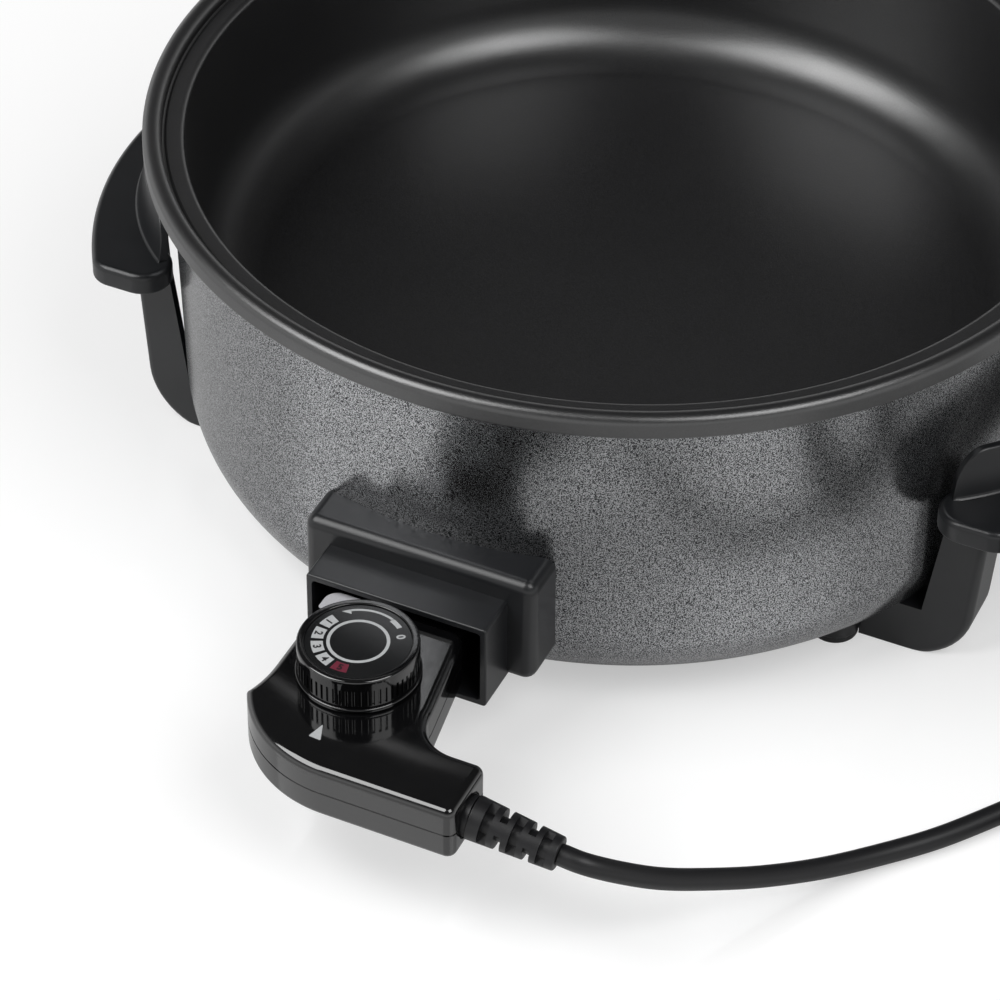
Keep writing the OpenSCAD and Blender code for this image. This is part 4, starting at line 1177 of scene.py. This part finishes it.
class SKILLET_OT_controller(bpy.types.Operator):
    """Adds the two shells of the plug-in controller"""
    bl_idname = "skillet.add_controller"
    bl_label = "Controller shells"

    def execute(self, context):
        s = context.scene.skillet_controller
        self.add_upper(s)
        self.add_lower(s)
        self.add_pointer(s)
        self.add_painted_reflection(s)
        return {"FINISHED"}

    def nose_half(self, low, high, round_low, round_high):
        """Half of the nose that enters the socket, with its outer long edges rounded."""
        outline = rounded(rectangle(NOSE_HALF, low, high, round_low, round_high), 5)
        return lay_along_y(slab(outline, NOSE_BACK, NOSE_FRONT, high_edge=0.6 * MM, steps=3))

    def channel(self):
        """Space inside the nose."""
        half = NOSE_HALF - NOSE_WALL
        height = (NOSE_Z[0] + NOSE_WALL, NOSE_Z[1] - NOSE_WALL)
        return block((-half, half), (NOSE_BACK - 4 * MM, NOSE_FRONT + MM), height)

    def rings(self, depths, heights):
        """The shells' outline at each depth, laid at each height."""
        outlines = [shell_outline(depth) for depth in depths]
        return [np.column_stack([o, np.full(len(o), z)]) for o, z in zip(outlines, heights)]

    def cavity(self, s, low, high):
        """Space inside the shells."""
        return slab(shell_outline(s.shell_wall), low, high)

    def add_upper(self, s):
        """Upper shell: walls over a fine step at the parting line, and a large rounded top edge."""
        t = np.linspace(0, np.pi / 2, 10)
        step, shaft_hole = 0.3 * MM, 5 * MM
        depth = np.concatenate([[step, step, 0], s.top_edge * (1 - np.cos(t))])
        height = np.concatenate([
            [s.parting_z, s.parting_z + 0.35 * MM, s.parting_z + 0.6 * MM],
            s.shell_top - s.top_edge + s.top_edge * np.sin(t)
        ])
        shell = solid("controller_upper_shell", loft(self.rings(depth, height)))
        carve(shell, "DIFFERENCE", self.cavity(s, s.parting_z - MM, s.shell_top - s.shell_wall))
        carve(shell, "UNION", self.nose_half(s.parting_z, NOSE_Z[1], SHARP, NOSE_ROUND))
        hole = np.array([(0, 40 * MM), (shaft_hole, 40 * MM), (shaft_hole, 60 * MM), (0, 60 * MM)])
        carve(shell, "DIFFERENCE", self.channel(), revolve(hole, 48, (s.dial_x, -s.dial_y)), sleeve_hole(s))
        finish_piece(shell, "gloss_black_plastic", "controller", ["upper_shell"])

    def add_lower(self, s):
        """Lower shell: upright walls over a rounded chamfer, with counterbores for its screws."""
        depth = np.array([1.9, 1.1, 0.5, 0.15, 0, 0]) * MM
        height = np.append(s.shell_bottom + np.array([0, 0.15, 0.6, 1.2, 1.9]) * MM, s.parting_z)
        shell = solid("controller_lower_shell", loft(self.rings(depth, height)))
        carve(shell, "DIFFERENCE", self.cavity(s, s.shell_bottom + s.shell_wall, s.parting_z + MM))
        carve(shell, "UNION", self.nose_half(NOSE_Z[0], s.parting_z, NOSE_ROUND, SHARP))
        post, bore, screw, over = 3.5 * MM, 3 * MM, 1.6 * MM, 60 * MM
        foot, seat = s.shell_bottom + MM, s.shell_bottom + 1.8 * MM
        stud = np.array([(0, foot), (post, foot), (post, s.parting_z), (0, s.parting_z)])
        drill = np.array([(0, 0), (bore, 0), (bore, seat), (screw, seat), (screw, over), (0, over)])
        carve(shell, "UNION", *[revolve(stud, 32, place) for place in POSTS])
        bores = [revolve(drill, 32, place) for place in POSTS]
        carve(shell, "DIFFERENCE", self.channel(), sleeve_hole(s), *bores)
        finish_piece(shell, "gloss_black_plastic", "controller", ["lower_shell"])

    def add_pointer(self, s):
        """Printed triangle that the dial's numbers are read against."""
        outline = fillet(np.array([(2.1, -232.1, 0.15), (0.4, -238.4, 0.3), (4.6, -238.7, 0.3)]) * MM, 4)
        sunk, proud = 0.05 * MM, 0.04 * MM
        pointer = solid("pointer_print", slab(outline, s.shell_top - sunk, s.shell_top + proud))
        finish_piece(pointer, "print_grey", "controller")

    def add_painted_reflection(self, s):
        """Pale grey patch on the neck, beside the dial and in front of the shroud: a painted reflection of
        the bright light that the glossy neck top mirrors there, laid as a flat diffuse sheet.
        """
        left, right, front, back = -23.6 * MM, -10 * MM, -185.5 * MM, -176.4 * MM
        outline = fillet([
            (left, front, 1 * MM), (right, front, 1 * MM), (right, back, 0.5 * MM), (left, back, 4.6 * MM)
        ], 8)
        half_thick = 0.05 * MM
        reflection_patch = solid("neck_painted_reflection", slab(outline, s.shell_top - half_thick, s.shell_top + half_thick))
        finish_piece(reflection_patch, "print_silver", "controller")


class SKILLET_OT_strain_relief(bpy.types.Operator):
    """Adds the slotted sleeve where the cord leaves the controller"""
    bl_idname = "skillet.add_strain_relief"
    bl_label = "Strain relief"

    def execute(self, context):
        s = context.scene.skillet_controller
        end = np.array(LEAD_ROUTE[0]) * MM
        self.along = unit(end - RELIEF_START)
        self.side = unit(np.cross(self.along, (0, 0, 1)))
        self.up = np.cross(self.side, self.along)
        run = float(np.linalg.norm(end - RELIEF_START))
        start, tip = 1.3 * MM, 5.5 * MM
        cone = fillet([(0, start, 0), (RELIEF_HEAD, start, 0.4 * MM), (tip, run, 0.7 * MM), (0, run, 0)], 4)
        head, step, face = 49.5 * MM, 52.3 * MM, 56.2 * MM
        neck = np.array([
            (0, head), (RELIEF_HEAD, head), (RELIEF_HEAD, step), (RELIEF_NECK, step), (RELIEF_NECK, face),
            (0, face)
        ])
        points, faces = lay_along_x(revolve(neck, 64))
        sleeve = solid("cord_strain_relief", self.placed(revolve(cone, 96)))
        first, pitch, widths = 6.95 * MM, 4.7 * MM, (2.9 * MM, 2.4 * MM)
        slots = [
            self.slot(first + pitch * i - widths[i % 2] / 2, widths[i % 2], 45 + 90 * i + half)
            for i in range(5) for half in (0, 180)
        ]
        carve(sleeve, "DIFFERENCE", *slots)
        carve(sleeve, "UNION", (points + (0, RELIEF_START[1], s.parting_z), faces))
        finish_piece(sleeve, "cord_rubber", "controller", ["strain_relief"], sharp=40, edge=0.28 * MM)
        return {"FINISHED"}

    def placed(self, surface):
        """A surface drawn round an upright axis, laid along the sleeve's axis."""
        points, faces = surface
        x, y, z = points[:, :1], points[:, 1:2], points[:, 2:]
        return RELIEF_START + z * self.along + x * self.side + y * self.up, faces

    def slot(self, start, width, turn):
        """Space of one slot: between a round core and the outside, cut off at the ribs on either side."""
        core, outside, rib = 3.9 * MM, 9 * MM, 2.2 * MM
        wide, narrow = math.degrees(math.acos(rib / outside)), math.degrees(math.acos(rib / core))
        outline = np.concatenate([
            polar((0, 0), outside, turn - wide, turn + wide, 17),
            polar((0, 0), core, turn + narrow, turn - narrow, 13)
        ])
        return self.placed(slab(outline, start, start + width))


# The dial's printed scale, in degrees about its axis: the steps' first place, spacing and half width, the
# arrow's thin and thick arcs, and the place of the zero.
FIRST_STEP = 161
STEP_SPACING = 27.5
STEP_HALF = 11
THIN_ARC = (68, 126)
THICK_ARC = (51, 69)
ZERO_PLACE = 34
# Corners of the arrow's head, as a radius in millimetres and an angle.
ARROW_HEAD = [(12.7, 126), (14.75, 125), (14.7, 137)]
FACE_SEGMENTS = 160


class SKILLET_OT_dial(bpy.types.Operator):
    """Adds the dial: its knob with grip slots, its face and the printed scale"""
    bl_idname = "skillet.add_dial"
    bl_label = "Dial"

    def execute(self, context):
        s = context.scene.skillet_controller
        self.centre = np.array([s.dial_x, -s.dial_y])
        self.add_knob(s)
        self.add_face(s)
        self.add_print(s)
        return {"FINISHED"}

    def add_knob(self, s):
        """Wall over a thin collar. A slot lowers the radius where the angle is inside it and the height is
        inside the grip band."""
        slots, deep, width, ramp = 58, 0.5 * MM, 0.7 * MM, 0.3 * MM
        collar, inner = s.collar_radius, s.face_radius + 0.15 * MM
        wall = collar - 0.6 * MM
        low, high, face = s.knob_bottom, s.knob_top, s.face_top - 0.5 * MM
        slot_low, slot_high = low + 2.4 * MM, high - 4 * MM
        below = fillet([
            (0, low, 0), (collar, low, 0.3 * MM), (collar, low + 1.3 * MM, 0.45 * MM),
            (wall - 0.7 * MM, low + 1.5 * MM, 0.1 * MM), (wall - 0.7 * MM, low + 1.9 * MM, 0.1 * MM),
            (wall, low + 2 * MM, 0.15 * MM), (wall, low + 2.3 * MM, 0)
        ], 5)
        rise = np.array([0, 0.03 * MM, ramp])
        band = np.concatenate([slot_low + rise, slot_high - rise[::-1]])
        above = fillet([
            (0, high - 2 * MM, 0), (wall, high - 2 * MM, 0), (wall, high, 0.8 * MM), (inner, high, 0.3 * MM),
            (inner, face, 0.1 * MM), (0, face, 0)
        ], 6)
        rows = np.concatenate([below[:-1], np.column_stack([0 * band + wall, band]), above[1:]])
        z, near = rows[:, 1], 0.01 * MM
        inside = (z > slot_low + near) & (z < slot_high - near) & (rows[:, 0] > wall - MM)
        half = width / 2 / wall
        spread = np.array([-1.25, -1.0, -0.9, 0.9, 1.0, 1.25]) * half
        land = math.pi / slots
        steps = np.concatenate([spread, [0.45 * land + 0.5 * half, land, 1.55 * land - 0.5 * half]])
        depth = np.array([0, 0.12, 1, 1, 0.12, 0, 0, 0, 0]) * deep
        angle = (np.arange(slots)[:, None] * 2 * land + steps).reshape(-1, 1)
        radius = rows[:, 0] - np.tile(depth, slots)[:, None] * inside
        points = np.stack([
            self.centre[0] + radius * np.cos(angle), self.centre[1] + radius * np.sin(angle), z + 0 * angle
        ], axis=-1)
        faces = quads(len(angle), len(rows), True, False).tolist()
        knob = solid("dial_knob_moulding", (points.reshape(-1, 3), faces))
        finish_piece(knob, "gloss_black_plastic", "dial", ["dial_knob"])

    def add_face(self, s):
        """Thin disc with a softened edge."""
        radius, low, top = s.face_radius, s.face_top - 0.5 * MM, s.face_top
        profile = fillet([(0, low, 0), (radius, low, 0), (radius, top, 0.15 * MM), (0, top, 0)], 4)
        disc = solid("dial_face_disc", revolve(profile, FACE_SEGMENTS, self.centre))
        finish_piece(disc, "dial_print", "dial", ["dial_face"])

    def sector(self, inner, outer, start, end):
        """Outline of part of a ring between two angles in degrees."""
        count = max(3, int(abs(end - start) / 3))
        return np.concatenate([
            polar(self.centre, outer, start, end, count), polar(self.centre, inner, end, start, count)
        ])

    def add_print(self, s):
        """Scale: a ring, an arrow that shows the way to turn, and numbered segments."""
        low, high = s.face_top - 0.03 * MM, s.face_top + 0.02 * MM
        head = np.array([polar(self.centre, radius * MM, a, a, 1)[0] for radius, a in ARROW_HEAD])
        arrow = [
            slab(self.sector(13.9 * MM, 14.75 * MM, *THIN_ARC), low, high),
            slab(self.sector(13.1 * MM, 14.75 * MM, *THICK_ARC), low, high),
            slab(head, low, high),
        ]
        ring = self.ring_surface(8.75 * MM, 9.8 * MM, low, high)
        places = [FIRST_STEP + STEP_SPACING * i for i in range(5)]
        segments = [
            slab(self.sector(10.85 * MM, 14.6 * MM, a - STEP_HALF, a + STEP_HALF), low, high) for a in places
        ]
        digits = [self.digit(str(i + 1), 2.6 * MM, 12.75 * MM, a, high) for i, a in enumerate(places)]
        zero = self.digit("0", 2.9 * MM, 13.2 * MM, ZERO_PLACE, high)
        finish_piece(solid("dial_scale_print", *arrow, ring, *segments[:4]), "print_grey", "dial")
        finish_piece(solid("dial_hot_segment", segments[4]), "print_red", "dial")
        finish_piece(solid("dial_numbers", *digits), "print_black", "dial")
        finish_piece(solid("dial_zero", zero), "print_grey", "dial")

    def ring_surface(self, inner, outer, low, high):
        """Flat ring as a closed section carried round the dial's axis."""
        section = np.array([(inner, low), (outer, low), (outer, high), (inner, high)])
        return revolve(section, FACE_SEGMENTS, self.centre, True)

    def digit(self, text, height, radius, place, low):
        """One digit as a thin solid, its top towards the dial's axis."""
        curve = bpy.data.curves.new("digit", "FONT")
        curve.body = text
        curve.align_x = "CENTER"
        curve.offset = 0.03
        curve.resolution_u = 6
        holder = bpy.data.objects.new("digit", curve)
        bpy.context.scene.collection.objects.link(holder)
        bpy.context.view_layer.update()
        mesh = bpy.data.meshes.new_from_object(holder.evaluated_get(bpy.context.evaluated_depsgraph_get()))
        bpy.data.objects.remove(holder)
        work = bmesh.new()
        work.from_mesh(mesh)
        bmesh.ops.remove_doubles(work, verts=work.verts, dist=1e-5)
        lifted = bmesh.ops.extrude_face_region(work, geom=work.faces[:])["geom"]
        corners = [item for item in lifted if isinstance(item, bmesh.types.BMVert)]
        bmesh.ops.translate(work, verts=corners, vec=(0, 0, 1))
        work.to_mesh(mesh)
        work.free()
        drawn = np.zeros(len(mesh.vertices) * 3)
        mesh.vertices.foreach_get("co", drawn)
        drawn = drawn.reshape(-1, 3)
        faces = [list(face.vertices) for face in mesh.polygons]
        bpy.data.meshes.remove(mesh)
        flat = drawn[:, :2]
        flat = (flat - (flat.min(axis=0) + flat.max(axis=0)) / 2) * height / np.ptp(flat[:, 1])
        spot = polar(self.centre, radius, place, place, 1)[0]
        sunk, thick = 0.01 * MM, 0.03 * MM
        return np.column_stack([turned(flat, place + 90) + spot, low - sunk + thick * drawn[:, 2]]), faces


class SKILLET_OT_inner_parts(bpy.types.Operator):
    """Gives the heater, fasteners, contacts and base their finishes"""
    bl_idname = "skillet.finish_inner_parts"
    bl_label = "Inner parts"

    def execute(self, context):
        finishes = {part["node"]: part["material_slot"] for part in frame["record"]["subparts"]}
        for name, part in frame["nodes"].items():
            if not part.hide_render:
                part.data.materials.clear()
                part.data.materials.append(None)
                part.material_slots[0].link = "OBJECT"
                part.material_slots[0].material = material(finishes[name])
        return {"FINISHED"}


class SKILLET_PT_panel(bpy.types.Panel):
    """Lists the skillet's pieces"""
    bl_idname = "SKILLET_PT_panel"
    bl_label = "Electric skillet"
    bl_space_type = "VIEW_3D"
    bl_region_type = "UI"
    bl_category = "Skillet"

    def draw(self, context):
        for operator in OPERATORS:
            self.layout.operator(operator.bl_idname)
        for group in GROUPS:
            settings = getattr(context.scene, group)
            box = self.layout.box()
            for name in settings.bl_rna.properties.keys():
                if name not in ("rna_type", "name"):
                    box.prop(settings, name)


GROUPS = {
    "skillet_pan": SkilletPanSizes,
    "skillet_handles": SkilletHandleSizes,
    "skillet_controller": SkilletControllerSizes,
    "skillet_cord": SkilletCordSizes,
    "skillet_colours": SkilletColours,
}
OPERATORS = [
    SKILLET_OT_stage, SKILLET_OT_cord, SKILLET_OT_pan, SKILLET_OT_housing, SKILLET_OT_shroud,
    SKILLET_OT_handles, SKILLET_OT_controller, SKILLET_OT_strain_relief, SKILLET_OT_dial,
    SKILLET_OT_inner_parts,
]


def register():
    for group, kind in GROUPS.items():
        bpy.utils.register_class(kind)
        setattr(bpy.types.Scene, group, bpy.props.PointerProperty(type=kind))
    for kind in OPERATORS + [SKILLET_PT_panel]:
        bpy.utils.register_class(kind)


def unregister():
    for kind in [SKILLET_PT_panel] + OPERATORS[::-1]:
        bpy.utils.unregister_class(kind)
    for group, kind in GROUPS.items():
        delattr(bpy.types.Scene, group)
        bpy.utils.unregister_class(kind)


def main():
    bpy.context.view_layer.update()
    register()
    for operator in OPERATORS:
        group, name = operator.bl_idname.split(".")
        getattr(getattr(bpy.ops, group), name)()


if __name__ == "__main__":
    main()
